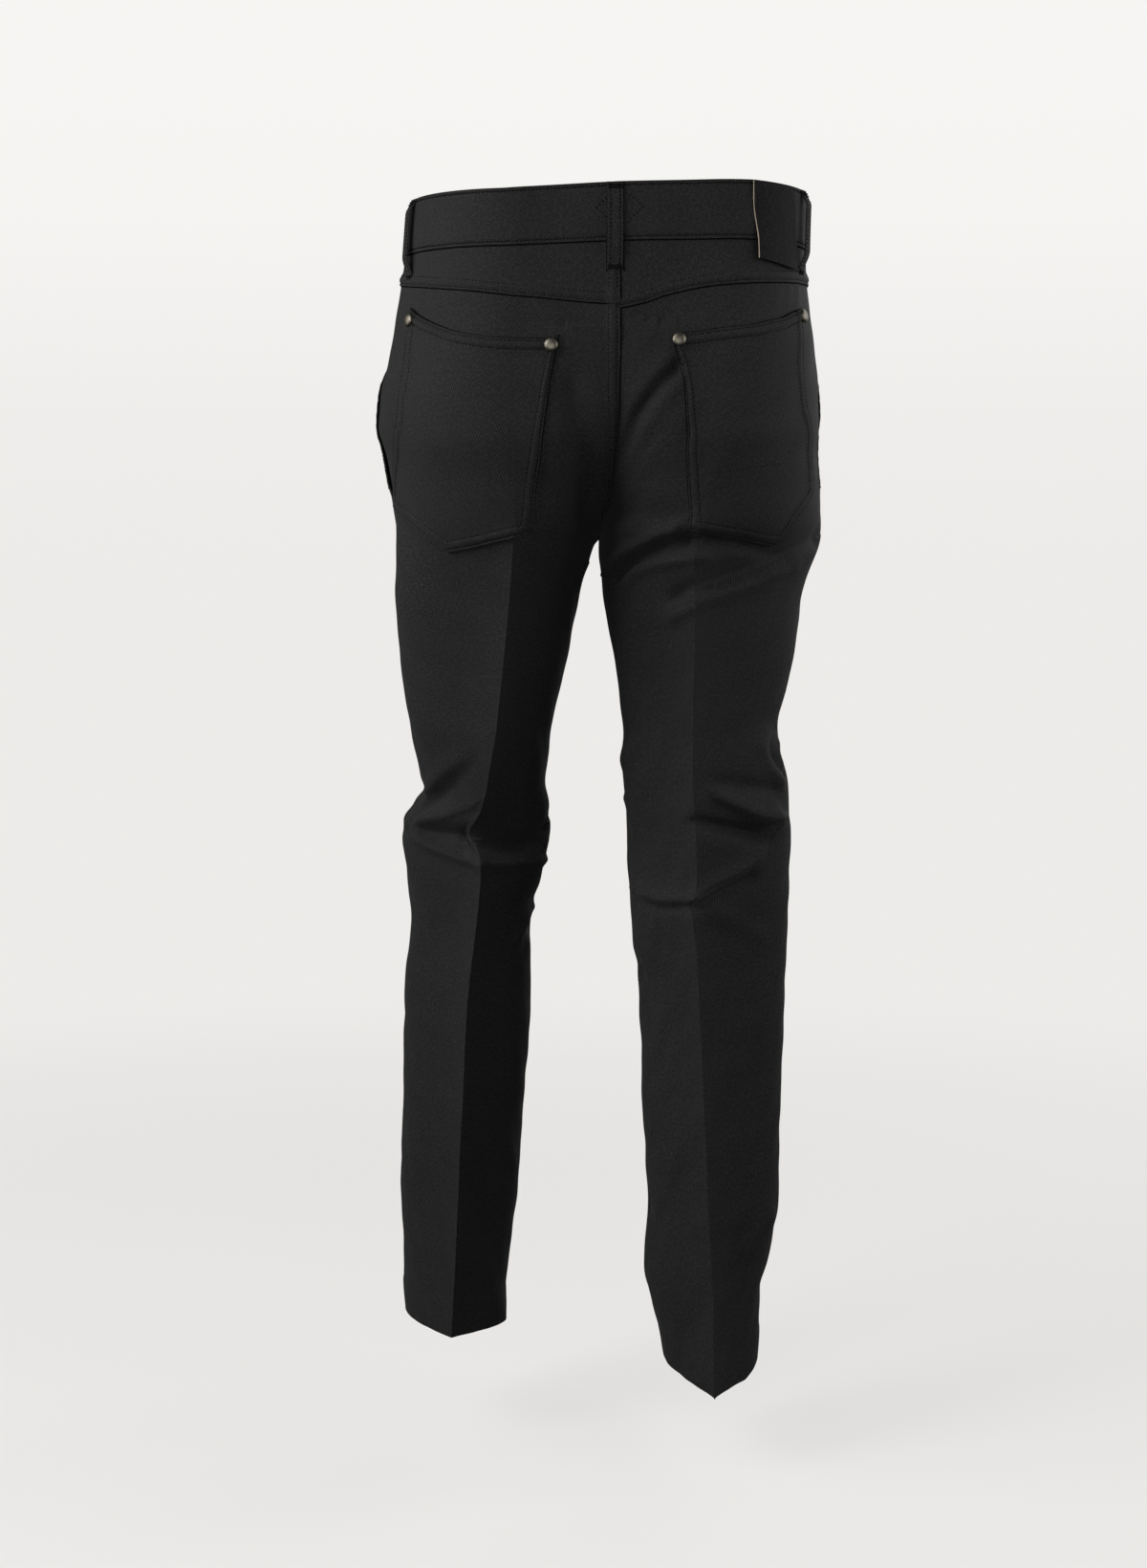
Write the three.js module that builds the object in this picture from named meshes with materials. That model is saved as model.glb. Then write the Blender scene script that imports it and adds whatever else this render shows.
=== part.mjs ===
// Five-pocket trousers in pressed twill, standing as they are worn: the left knee bent and forward,
// the right leg straight. Millimetres, +Z up, front towards -Y, the wearer's left towards +X.
// The origin is the centre of the waistband's top edge.
//
// Each half of the garment is one surface. u runs round it: 0 at the front rise or inseam, 0.25 at the
// front crease, 0.5 at the outseam, 0.75 at the back crease and 1 at the back rise or inseam.
// z is the height of the level section. Every piece of cloth is a wall laid over part of that surface.
import * as THREE from 'three';

// ---- Driving dimensions, mm ----
const gap = 0.3; // between pieces that meet
const cloth = 1.6; // one layer of twill
const wayRound = 460; // mean way round one half, which turns u into mm
const trim = gap / 2 / wayRound; // half a seam's gap as a share of the way round
const band = { width: 45, thick: 2.8, proud: 0.9, frontDip: 14, fade: 150, underlap: 0.083 };
const fork = { z: -273, y: 2, curve: 120, power: 2.2 };
const crease = 0.25; // u of the front crease; the back crease lies at 1 - crease
const mouth = { top: 0.42, end: -235, lap: 0.8, start: 0.4 };
const backPocket = { standOff: 1.2, bag: 0.7, outerColumn: 2, innerColumn: 8, rowsBelow: 6 };
const pocketRows = { top: -125, end: -230 }; // level rows of the back that a pocket shares
const yoke = { rows: 3, level: -85, end: -100 }; // the seam lies between its level and its end
const hip = { rise: 0.6, top: -60, foot: 3, lastRow: 5 }; // heights are from the band or from the mouth's end
const loop = { width: 12, thick: 1.6, stand: 6.4, top: 0.5, bottom: -67.5, rows: 10 };
const loopBow = { rise: 0.18, fall: 0.7, end: 0.95 }; // shares of a loop's length where it rises and lands
const patch = { thick: 1.4, top: -1, bottom: -60, standOff: 0.3, flare: 1.2, rows: 3 };
const patchColumns = { outer: 2, inner: 4 }; // of the waistband over the right back
const fly = { end: -184, shieldDepth: 3.8, zipDepth: 1.9, chain: [0.012, 0.03], slider: [0.008, 0.034] };
const zipRows = { sliderTop: -52, sliderEnd: -64, chain: [-90, -112, -136, -160, -172] };
const selvedge = { width: 0.4, thick: 1, depth: 1, top: -250 };
const rivet = { radius: 4.1, dome: 1.9, rim: 0.7, seat: 0.5 };
const button = { radius: 8.5, dome: 3.4, rim: 1.2, u: 0.031, z: -24 };
const fieldCells = 10; // cells across every main panel

// A table is a list of rows with named columns.
const table = (columns, ...rows) =>
  rows.map((row) => Object.fromEntries(columns.map((name, index) => [name, row[index]])));

// Level sections of a leg: the outseam, the back crease and the front crease.
// press is how sharply the section turns at a crease, 0 round and 1 pressed.
const sectionColumns = ['z', 'out', 'outY', 'backX', 'back', 'frontX', 'front', 'pressBack', 'pressFront'];
const leftSections = table(sectionColumns,
  [10, 160, 0, 70, 104, 70, -98, 0, 0],
  [-60, 170, -2, 76, 110, 76, -106, 0, 0],
  [-95, 176, -3, 81, 114, 79, -108, 0, 0],
  [-125, 181, -4, 86, 118, 82, -110, 0, 0],
  [-140, 184, -5, 87, 119, 83, -110, 0, 0],
  [-155, 188, -6, 88, 120, 84, -111, 0, 0],
  [-186, 190, -9, 88, 120, 86, -112, 0, 0.1],
  [-200, 187, -11, 88, 119, 86, -112, 0, 0.1],
  [-228, 181, -12, 86, 112, 88, -114, 0.1, 0.2],
  [-262, 177, -14, 82, 104, 90, -116, 0.2, 0.3],
  [-300, 178, -18, 84, 91, 92, -118, 0.6, 0.4],
  [-340, 178, -22, 87, 76, 94, -120, 0.8, 0.6],
  [-430, 168, -38, 96, 46, 98, -128, 0.9, 0.9],
  [-455, 163, -44, 100, 33, 100, -132, 0.9, 1],
  [-475, 159, -49, 103, 21, 102, -136, 0.8, 1],
  [-486, 156, -53, 105, 15, 103, -138, 0.8, 1],
  [-500, 163, -58, 109, 6, 104, -140, 0.8, 1],
  [-510, 170, -60, 114, 2, 105, -141, 0.8, 1],
  [-519, 173, -62, 118, 0, 106, -142, 0.8, 1],
  [-527, 175, -63, 116, -1, 107, -143, 0.8, 1],
  [-534, 175, -65, 111, -2, 109, -145, 0.8, 1],
  [-541, 174, -66, 109, -2, 110, -146, 0.8, 1],
  [-560, 172, -68, 109, -2, 112, -147, 0.9, 1],
  [-600, 168, -74, 113, -5, 116, -150, 1, 1],
  [-650, 174, -80, 119, -9, 122, -154, 1, 1],
  [-690, 175, -84, 122, -11, 125, -158, 1, 1],
  [-740, 176, -90, 124, -14, 128, -162, 1, 1],
  [-790, 178, -95, 127, -20, 130, -168, 1, 1],
  [-840, 179, -101, 129, -26, 132, -174, 1, 1],
  [-959, 176, -114, 135, -39, 134, -188, 0.7, 1],
);
const rightSections = table(sectionColumns,
  [10, 156, 0, 70, 104, 70, -98, 0, 0],
  [-60, 157, -2, 74, 110, 74, -106, 0, 0],
  [-95, 161, -3, 77, 114, 76, -108, 0, 0],
  [-120, 165, -4, 80, 118, 78, -110, 0, 0],
  [-190, 169, -6, 78, 122, 80, -112, 0, 0.1],
  [-207, 168, -6, 74, 120, 80, -112, 0, 0.1],
  [-230, 170, -7, 70, 117, 80, -111, 0.1, 0.2],
  [-262, 172, -8, 64, 112, 80, -110, 0.2, 0.3],
  [-282, 170, -8, 59, 107, 79, -109, 0.4, 0.4],
  [-310, 160, -7, 60, 100, 78, -107, 0.7, 0.5],
  [-345, 154, -6, 61, 92, 77, -103, 0.8, 0.7],
  [-380, 149, -5, 61, 84, 76, -99, 0.9, 0.8],
  [-412, 141, -4, 61, 79, 76, -95, 0.9, 0.9],
  [-428, 138, -4, 61, 76, 76, -93, 0.9, 0.9],
  [-442, 139, -4, 61, 74, 76, -92, 0.9, 0.9],
  [-475, 146, -4, 62, 69, 76, -90, 0.9, 1],
  [-502, 148, -5, 64, 66, 76, -89, 0.9, 1],
  [-515, 150, -5, 65, 64, 76, -88, 0.9, 1],
  [-552, 149, -7, 66, 61, 76, -87, 0.9, 1],
  [-562, 149, -7, 64, 60, 76, -87, 0.9, 1],
  [-573, 149, -8, 62, 59, 76, -87, 0.9, 1],
  [-590, 148, -8, 64, 57, 76, -86, 1, 1],
  [-613, 147, -9, 67, 54, 76, -86, 1, 1],
  [-650, 147, -11, 69, 52, 78, -87, 1, 1],
  [-700, 145, -13, 72, 50, 80, -88, 1, 1],
  [-760, 144, -15, 75, 47, 82, -91, 1, 1],
  [-820, 143, -18, 78, 44, 84, -94, 1, 1],
  [-842, 143, -19, 79, 44, 84, -95, 1, 1],
  [-856, 140, -19, 80, 43, 84, -96, 1, 1],
  [-871, 138, -20, 81, 43, 84, -97, 1, 1],
  [-888, 134, -21, 82, 43, 84, -98, 1, 1],
  [-906, 129, -22, 83, 44, 85, -99, 1, 1],
  [-925, 128, -23, 83, 44, 85, -100, 1, 1],
  [-987, 126, -26, 84, 46, 86, -102, 1, 1],
);

// The centre seam from waist to fork; cleft is how many degrees it dips between the halves.
const centreSeam = table(['z', 'x', 'seat', 'fly', 'cleftBack', 'cleftFront'],
  [10, 0, 106, -100, 0, 0],
  [-60, 0, 112, -108, 0, 0],
  [-120, 0, 116, -112, 8, 4],
  [-180, 1, 108, -106, 28, 16],
  [-225, 3, 90, -92, 50, 34],
  [-273, 11, 60, -66, 80, 70],
);

// The inseams below the fork, outward from the centre plane on each half's own side.
const leftInseam = table(['z', 'in', 'y'],
  [-273, 11, 2], [-295, 20, -4], [-317, 26, -9], [-340, 30, -14], [-380, 37, -23], [-430, 49, -34],
  [-452, 51, -40], [-478, 53, -48], [-500, 50, -53], [-520, 49, -57], [-540, 52, -60], [-552, 55, -63],
  [-568, 58, -66], [-581, 63, -69], [-600, 65, -71], [-640, 66, -75], [-690, 66, -79], [-740, 70, -83],
  [-770, 73, -86], [-820, 75, -90], [-880, 82, -94], [-925, 87, -96], [-959, 87, -98],
);
const rightInseam = table(['z', 'in', 'y'],
  [-273, -11, 2], [-295, -10, 0], [-340, -4, -2], [-380, 3, -4], [-405, 7, -5], [-430, 10, -6],
  [-460, 9, -7], [-495, 12, -8], [-535, 14, -10], [-552, 15, -10], [-575, 16, -11], [-615, 19, -12],
  [-632, 23, -13], [-650, 24, -14], [-700, 26, -16], [-740, 27, -17], [-790, 30, -19], [-840, 32, -21],
  [-890, 30, -22], [-905, 31, -22], [-920, 35, -23], [-950, 43, -24], [-987, 50, -26],
);

// The largest folds: each runs from (u0, z0) to (u1, z1), rises by lift and is width to either side.
const foldColumns = ['u0', 'z0', 'u1', 'z1', 'width', 'lift'];
const leftFolds = table(foldColumns,
  [0.930, -150, 0.935, -245, 26, -6], // hollow beside the centre seam
  [0.530, -490, 0.680, -462, 14, 4], // ridge above the knee, from the outseam notch
  [0.700, -516, 0.950, -531, 12, -8], // deep fold behind the bent knee
  [0.560, -518, 0.670, -532, 12, -5],
  [0.670, -532, 0.780, -545, 11, 4],
  [0.790, -552, 0.950, -556, 11, 5], // roll under the deep fold
  [0.945, -590, 0.865, -630, 11, -4],
  [0.060, -235, 0.200, -200, 13, 4], // drag lines from the fork over the raised thigh
  [0.050, -285, 0.230, -238, 14, -4],
  [0.080, -520, 0.180, -505, 14, 3],
);
const rightFolds = table(foldColumns,
  [0.850, -142, 0.960, -190, 12, -3], // drag line down to the seat seam
  [0.930, -297, 0.850, -286, 11, -5], // folds under the seat
  [0.850, -286, 0.740, -276, 11, -4],
  [0.760, -312, 0.520, -277, 13, -4],
  [0.500, -439, 0.590, -426, 12, -3],
  [0.690, -484, 0.620, -505, 15, 4],
  [0.500, -506, 0.610, -520, 12, 5], // long curved ridge behind the knee
  [0.610, -520, 0.770, -565, 12, 5],
  [0.770, -566, 0.950, -562, 12, 4],
  [0.970, -637, 0.900, -661, 12, -4],
  [0.990, -838, 0.930, -853, 11, -3],
  [0.590, -846, 0.650, -864, 12, 4],
  [0.070, -240, 0.190, -215, 13, -3],
  [0.120, -520, 0.330, -535, 14, -3],
);

// How far the front's edge gapes from the hip along each slanted pocket mouth.
const leftMouth = table(['z', 'raise'],
  [-45, 2.4], [-90, 2.4], [-122, 3], [-138, 5], [-165, 4.6], [-190, 3.8], [-205, 3.2], [-218, 3],
  [-234, 2.8], [-242, 2], [-270, 0],
);
const rightMouth = table(['z', 'raise'],
  [-45, 2.4], [-100, 3], [-128, 6], [-150, 8.5], [-175, 7], [-190, 4], [-228, 2.6], [-240, 2], [-270, 0],
);

// The back columns that a back pocket's sides follow.
const leftPocketSides = table(['z', 'outer', 'inner'],
  [-45, 0.6, 0.87], [-100, 0.588, 0.858], [-121, 0.589, 0.85], [-155, 0.595, 0.829], [-184, 0.591, 0.813],
  [-213, 0.565, 0.8], [-241, 0.53, 0.787], [-270, 0.518, 0.775], [-285, 0.518, 0.772],
  [-432, 0.6, 0.9],
);
const rightPocketSides = table(['z', 'outer', 'inner'],
  [-45, 0.6, 0.88], [-96, 0.603, 0.872], [-125, 0.61, 0.866], [-139, 0.613, 0.842], [-154, 0.61, 0.828],
  [-174, 0.602, 0.819], [-204, 0.585, 0.803], [-230, 0.58, 0.787], [-257, 0.582, 0.771], [-285, 0.585, 0.76],
  [-428, 0.6, 0.9],
);

// A back pocket's scooped top and pointed bottom, from its outer side (0) to its inner side (1).
const leftPocketEnds = table(['across', 'top', 'bottom'],
  [0, -93, -249], [0.12, -102, -256], [0.25, -110, -262], [0.35, -115, -269], [0.46, -118, -277],
  [0.56, -120, -285], [0.73, -121, -280], [0.86, -121, -275], [1, -119, -270],
);
const rightPocketEnds = table(['across', 'top', 'bottom'],
  [0, -95, -238], [0.09, -99, -247], [0.18, -104, -256], [0.28, -107, -267], [0.36, -110, -281],
  [0.48, -112, -279], [0.6, -114, -276], [0.72, -116, -274], [0.85, -117, -271], [1, -119, -268],
);

// The yoke's lower seam.
const yokeSeam = table(['u', 'left', 'right'],
  [0.5, -68, -72], [0.6, -75, -74], [0.7, -82, -78], [0.75, -86, -80], [0.82, -89, -84], [0.9, -91, -88],
  [1, -94, -97],
);

// The hem, lowest at the back crease.
const leftHem = table(['u', 'z'],
  [0, -957], [0.25, -950], [0.5, -949], [0.62, -955], [0.75, -959], [0.9, -958], [1, -957],
);
const rightHem = table(['u', 'z'],
  [0, -970], [0.25, -975], [0.5, -970], [0.62, -977], [0.75, -987], [0.87, -978], [1, -970],
);
const hemBend = 90; // height over which the rows bend to the hem

// How the top of the waistband rises and falls across the wearer.
const waistTilt = table(['x', 'lift'], [-165, 1], [-105, 3], [0, 0], [90, -5], [165, -5]);

// Heights of the rows of cells, from the waistband down.
const hipLevels = [-45.3, -68, -90, -112, -136, -160, -184, -207, -228, -246, -259, -267, -271.5];
const leftLevels = [-273, -284, -300, -320, -345, -375, -405, -432, -455, -472, -487, -500, -512, -523, -533,
  -543, -555, -568, -582, -600, -620, -645, -680, -720, -760, -800, -840, -880, -920, -959];
const rightLevels = [-273, -282, -294, -312, -340, -375, -405, -428, -445, -462, -480, -495, -508, -521, -534,
  -547, -560, -573, -590, -610, -635, -655, -680, -715, -750, -785, -815, -838, -852, -866, -885, -910, -945,
  -987];

// ---- Interpolation ----
const lerp = (from, to, share) => from + (to - from) * share;

function smooth(from, to, value) {
  const share = THREE.MathUtils.clamp((value - from) / (to - from), 0, 1);
  return share * share * (3 - 2 * share);
}

// The row pair around a key value, and how far between them it lies.
function bracket(rows, key, value) {
  const rising = rows[rows.length - 1][key] > rows[0][key];
  let index = 0;
  while (index < rows.length - 2 && (rising ? rows[index + 1][key] < value : rows[index + 1][key] > value)) {
    index += 1;
  }
  const share = (value - rows[index][key]) / (rows[index + 1][key] - rows[index][key]);
  return { index, share: THREE.MathUtils.clamp(share, 0, 1) };
}

// A smooth curve through every column of a table.
function curveThrough(rows, key, value) {
  const { index, share } = bracket(rows, key, value);
  const at = (offset) => rows[THREE.MathUtils.clamp(index + offset, 0, rows.length - 1)];
  const span = at(1)[key] - at(0)[key];
  const result = {};
  for (const name of Object.keys(rows[0])) {
    const slope = (offset) =>
      ((at(offset + 1)[name] - at(offset - 1)[name]) / (at(offset + 1)[key] - at(offset - 1)[key])) * span;
    const s2 = share * share;
    const s3 = s2 * share;
    result[name] = (2 * s3 - 3 * s2 + 1) * at(0)[name] + (s3 - 2 * s2 + share) * slope(0)
      + (3 * s2 - 2 * s3) * at(1)[name] + (s3 - s2) * slope(1);
  }
  return result;
}

// Straight lines through one column of a table.
function lineThrough(rows, key, name, value) {
  const { index, share } = bracket(rows, key, value);
  return lerp(rows[index][name], rows[index + 1][name], share);
}

// ---- The garment's surface ----
const left = {
  side: 1, name: 'left', sections: leftSections, inseam: leftInseam, folds: leftFolds, mouth: leftMouth,
  pocketSides: leftPocketSides, pocketEnds: leftPocketEnds, levels: leftLevels, hemLine: leftHem,
};
const right = {
  side: -1, name: 'right', sections: rightSections, inseam: rightInseam, folds: rightFolds, mouth: rightMouth,
  pocketSides: rightPocketSides, pocketEnds: rightPocketEnds, levels: rightLevels, hemLine: rightHem,
};

const roundness = 0.5523; // handle length that turns a cubic curve into a quarter ellipse
const pressPull = 0.9; // how far a pressed crease pulls its handle inward

function cubic(points, share) {
  const rest = 1 - share;
  const weights = [rest ** 3, 3 * rest * rest * share, 3 * rest * share * share, share ** 3];
  return [0, 1].map((axis) => weights.reduce((sum, weight, index) => sum + weight * points[index][axis], 0));
}

// Where a level section starts and ends: on the centre plane above the fork, at the inseam below it.
function innerEnds(half, z) {
  if (z < fork.z) {
    const inseam = curveThrough(half.inseam, 'z', z);
    return { x: inseam.in, back: inseam.y, front: inseam.y, backTurn: 90, frontTurn: 90 };
  }
  const seam = curveThrough(centreSeam, 'z', z);
  const climb = Math.min((z - fork.z) / fork.curve, 1);
  const rise = Math.sqrt(1 - (1 - climb) ** fork.power);
  return {
    x: half.side * seam.x,
    back: lerp(fork.y, seam.seat, rise),
    front: lerp(fork.y, seam.fly, rise),
    backTurn: lerp(90, seam.cleftBack, rise),
    frontTurn: lerp(90, seam.cleftFront, rise),
  };
}

// A point of the smooth surface, before folds: four curves between front, outseam, back and their creases.
function sectionPoint(half, u, z) {
  const row = curveThrough(half.sections, 'z', z);
  const ends = innerEnds(half, z);
  const quarter = Math.min(Math.floor(u * 4), 3);
  const share = u * 4 - quarter;
  const onFront = quarter < 2;
  const creaseX = onFront ? row.frontX : row.backX;
  const creaseY = onFront ? row.front : row.back;
  const press = roundness * pressPull * (onFront ? row.pressFront : row.pressBack);
  let points;
  if (quarter === 1 || quarter === 2) {
    points = [
      [creaseX, creaseY],
      [creaseX + roundness * (row.out - creaseX), creaseY + press * (row.outY - creaseY)],
      [row.out, row.outY + roundness * (creaseY - row.outY)],
      [row.out, row.outY],
    ];
  } else {
    const endY = onFront ? ends.front : ends.back;
    const turn = THREE.MathUtils.degToRad(onFront ? ends.frontTurn : ends.backTurn);
    const run = new THREE.Vector2((creaseX - ends.x) * Math.cos(turn), (creaseY - endY) * Math.sin(turn));
    const reach = roundness * run.length();
    points = [
      [creaseX, creaseY],
      [creaseX - roundness * (creaseX - ends.x), creaseY + press * (endY - creaseY)],
      [ends.x + reach * Math.cos(turn), endY + Math.sign(creaseY - endY) * reach * Math.sin(turn)],
      [ends.x, endY],
    ];
  }
  const towardsCrease = quarter === 0 || quarter === 2;
  const [x, y] = cubic(points, towardsCrease ? 1 - share : share);
  return new THREE.Vector3(half.side * (x + gap / 2), y, z);
}

const hem = (half) => half.levels[half.levels.length - 1];

// The outward normal of the smooth surface.
function normalAt(half, u, z) {
  const du = 0.004;
  const dz = 1.5;
  const round = sectionPoint(half, Math.min(u + du, 1), z).sub(sectionPoint(half, Math.max(u - du, 0), z));
  const above = sectionPoint(half, u, Math.min(z + dz, half.sections[0].z));
  const up = above.sub(sectionPoint(half, u, Math.max(z - dz, hem(half))));
  return round.cross(up).multiplyScalar(half.side).normalize();
}

// Height of the folds over the smooth surface; each is a soft ridge or trough about its line.
function foldLift(half, u, z) {
  let lift = 0;
  for (const fold of half.folds) {
    const along = new THREE.Vector2((fold.u1 - fold.u0) * wayRound, fold.z1 - fold.z0);
    const turns = u - fold.u0;
    const place = new THREE.Vector2((turns - Math.round(turns)) * wayRound, z - fold.z0);
    const share = THREE.MathUtils.clamp(place.dot(along) / along.lengthSq(), 0, 1);
    const away = place.addScaledVector(along, -share).length() / fold.width;
    lift += fold.lift * Math.exp(-away * away);
  }
  const seamGuard = z > fork.z - 20 ? smooth(0, 24 / wayRound, Math.min(u, 1 - u)) : 1;
  return lift * seamGuard;
}

// How far the waist's own tilt and front dip move a point up, fading out over the hips.
function waistShift(point) {
  const tilt = lineThrough(waistTilt, 'x', 'lift', point.x);
  const dip = band.frontDip * smooth(-10, 100, -point.y);
  return (tilt - dip) * smooth(-band.fade, 0, point.z);
}

// Bends the lowest rows to the hem's own line.
function overHem(half, u, z) {
  const end = hem(half);
  return z + (lineThrough(half.hemLine, 'u', 'z', u) - end) * smooth(end + hemBend, end, z);
}

// A point of the cloth's outer face, moved out by `out`.
function clothPoint(half, u, level, out) {
  const z = overHem(half, u, level);
  const point = sectionPoint(half, u, z);
  const shift = waistShift(point);
  point.addScaledVector(normalAt(half, u, z), foldLift(half, u, z) + out);
  point.z += shift;
  return point;
}

// ---- Walls ----
// A closed wall over a grid: pointAt(column, row, depth) gives its outer face at depth 0 and its inner
// face at depth `thick`.
function wall(columns, rows, thick, pointAt) {
  const positions = [];
  const stride = columns + 1;
  const layer = stride * (rows + 1);
  for (const depth of [0, thick]) {
    for (let row = 0; row <= rows; row += 1) {
      for (let column = 0; column <= columns; column += 1) {
        positions.push(...pointAt(column, row, depth).toArray());
      }
    }
  }
  const index = [];
  const quad = (a, b, c, d) => index.push(a, b, c, a, c, d);
  const id = (column, row, face) => face * layer + row * stride + column;
  for (let row = 0; row < rows; row += 1) {
    for (let column = 0; column < columns; column += 1) {
      const corners = [[0, 0], [1, 0], [1, 1], [0, 1]];
      const [a, b, c, d] = corners.map(([over, down]) => id(column + over, row + down, 0));
      quad(a, b, c, d);
      index.push(a + layer, c + layer, b + layer, a + layer, d + layer, c + layer);
    }
  }
  for (let row = 0; row < rows; row += 1) {
    quad(id(0, row, 0), id(0, row + 1, 0), id(0, row + 1, 1), id(0, row, 1));
    quad(id(columns, row, 1), id(columns, row + 1, 1), id(columns, row + 1, 0), id(columns, row, 0));
  }
  for (let column = 0; column < columns; column += 1) {
    quad(id(column, 0, 1), id(column + 1, 0, 1), id(column + 1, 0, 0), id(column, 0, 0));
    quad(id(column, rows, 0), id(column + 1, rows, 0), id(column + 1, rows, 1), id(column, rows, 1));
  }
  return facingOut(positions, index);
}

// Turns a closed shape's faces outward if it encloses a negative volume.
function facingOut(positions, index) {
  const at = (vertex) => new THREE.Vector3().fromArray(positions, vertex * 3);
  let volume = 0;
  for (let face = 0; face < index.length; face += 3) {
    volume += at(index[face]).dot(at(index[face + 1]).cross(at(index[face + 2])));
  }
  if (volume < 0) {
    for (let face = 0; face < index.length; face += 3) {
      [index[face + 1], index[face + 2]] = [index[face + 2], index[face + 1]];
    }
  }
  const geometry = new THREE.BufferGeometry();
  geometry.setAttribute('position', new THREE.Float32BufferAttribute(positions, 3));
  geometry.setIndex(index);
  geometry.computeVertexNormals();
  return geometry;
}

// ---- Main panels ----
// u of the front's outer edge: the slanted pocket mouth above its end, the outseam below it.
function frontEdge(z) {
  const climb = THREE.MathUtils.clamp((z - mouth.end) / (-band.width - mouth.end), 0, 1);
  return lerp(0.5 - trim, mouth.top, climb);
}

function frontColumn(half, column, z) {
  const middle = fieldCells / 2;
  if (column <= middle) return lerp(trim, crease, column / middle);
  return lerp(crease, frontEdge(z), (column - middle) / middle);
}

function backColumn(half, column, z) {
  const { outerColumn, innerColumn } = backPocket;
  const outer = lineThrough(half.pocketSides, 'z', 'outer', z);
  const inner = lineThrough(half.pocketSides, 'z', 'inner', z);
  if (column <= outerColumn) return lerp(0.5 + trim, outer, column / outerColumn);
  if (column <= innerColumn) return lerp(outer, inner, (column - outerColumn) / (innerColumn - outerColumn));
  return lerp(inner, 1 - trim, (column - innerColumn) / (fieldCells - innerColumn));
}

// How far the front stands off the hip near the pocket mouth.
function mouthRaise(half, column, z) {
  const across = (column - fieldCells / 2) / (fieldCells / 2);
  return curveThrough(half.mouth, 'z', z).raise * smooth(mouth.start, mouth.lap, across);
}

const seamLine = (half, u) => lineThrough(yokeSeam, 'u', half.name, u);

// The back's rows start at the yoke seam and then keep level.
function backRowZ(half, column, row) {
  const level = backLevels(half)[row];
  return row === 0 ? seamLine(half, backColumn(half, column, level)) - gap / 2 : level;
}
const frontLevels = (half) => [...hipLevels, ...half.levels];
const backLevels = (half) => [yoke.level, ...frontLevels(half).filter((level) => level < yoke.end)];

const frontPanel = (half) => ({
  rows: frontLevels(half).length - 1,
  u: (column, z) => frontColumn(half, column, z),
  z: (column, row) => frontLevels(half)[row],
  out: (column, z) => mouthRaise(half, column, z),
  half,
});
const backPanel = (half) => ({
  rows: backLevels(half).length - 1,
  u: (column, z) => backColumn(half, column, z),
  z: (column, row) => backRowZ(half, column, row),
  out: () => 0,
  half,
});
const yokePanel = (half) => ({
  rows: yoke.rows,
  u: (column, z) => backColumn(half, column, z),
  z: (column, row) => {
    const end = seamLine(half, backColumn(half, column, yoke.level)) + gap / 2;
    return lerp(-band.width - gap, end, row / yoke.rows);
  },
  out: () => 0,
  half,
});

function panelVertex(panel, column, row, out) {
  const z = panel.z(column, row);
  return clothPoint(panel.half, panel.u(column, z), z, panel.out(column, z) + out);
}

const panelWall = (panel) =>
  wall(fieldCells, panel.rows, cloth, (column, row, depth) => panelVertex(panel, column, row, -depth));

// A point on the flat facets of a panel, moved out by `out`: down the two nearest columns, then across.
function onPanel(panel, u, z, out) {
  let column = 0;
  while (column < fieldCells - 1 && panel.u(column + 1, z) < u) column += 1;
  const from = panel.u(column, z);
  const across = (u - from) / (panel.u(column + 1, z) - from);
  const down = (line) => {
    let row = 0;
    while (row < panel.rows - 1 && panel.z(line, row + 1) > z) row += 1;
    const share = (z - panel.z(line, row)) / (panel.z(line, row + 1) - panel.z(line, row));
    return panelVertex(panel, line, row, out).lerp(panelVertex(panel, line, row + 1, out), share);
  };
  return down(column).lerp(down(column + 1), across);
}

// The hip piece behind a pocket mouth: it lies flush with the back and reaches under the front's edge.
function hipPiece(half) {
  const middle = hipLevels.filter((level) => level < hip.top && level > mouth.end + hip.lastRow);
  const levels = [-band.width - hip.rise, ...middle, mouth.end + hip.foot];
  return wall(3, levels.length - 1, cloth, (column, row, depth) => {
    const z = levels[row];
    const edge = frontEdge(z);
    const u = [frontColumn(half, fieldCells - 1, z), edge, lerp(edge, 0.5 - trim, 0.5), 0.5 - trim][column];
    return clothPoint(half, u, z, -depth);
  });
}

// A back pocket shares the back's columns and level rows between its scooped top and its pointed bottom.
function backPocketPiece(half) {
  const panel = backPanel(half);
  const cells = backPocket.innerColumn - backPocket.outerColumn;
  const shared = hipLevels.filter((level) => level < pocketRows.top && level > pocketRows.end);
  const rows = shared.length + backPocket.rowsBelow;
  return wall(cells, rows, cloth, (column, row, depth) => {
    const across = column / cells;
    const below = (row - shared.length) / backPocket.rowsBelow;
    const bottom = lineThrough(half.pocketEnds, 'across', 'bottom', across);
    let z = lerp(shared[shared.length - 1], bottom, below);
    if (row === 0) z = lineThrough(half.pocketEnds, 'across', 'top', across);
    else if (below <= 0) z = shared[row - 1];
    const u = panel.u(backPocket.outerColumn + column, z);
    return onPanel(panel, u, z, backPocket.standOff + backPocket.bag * (row / rows) + cloth - depth);
  });
}

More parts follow.
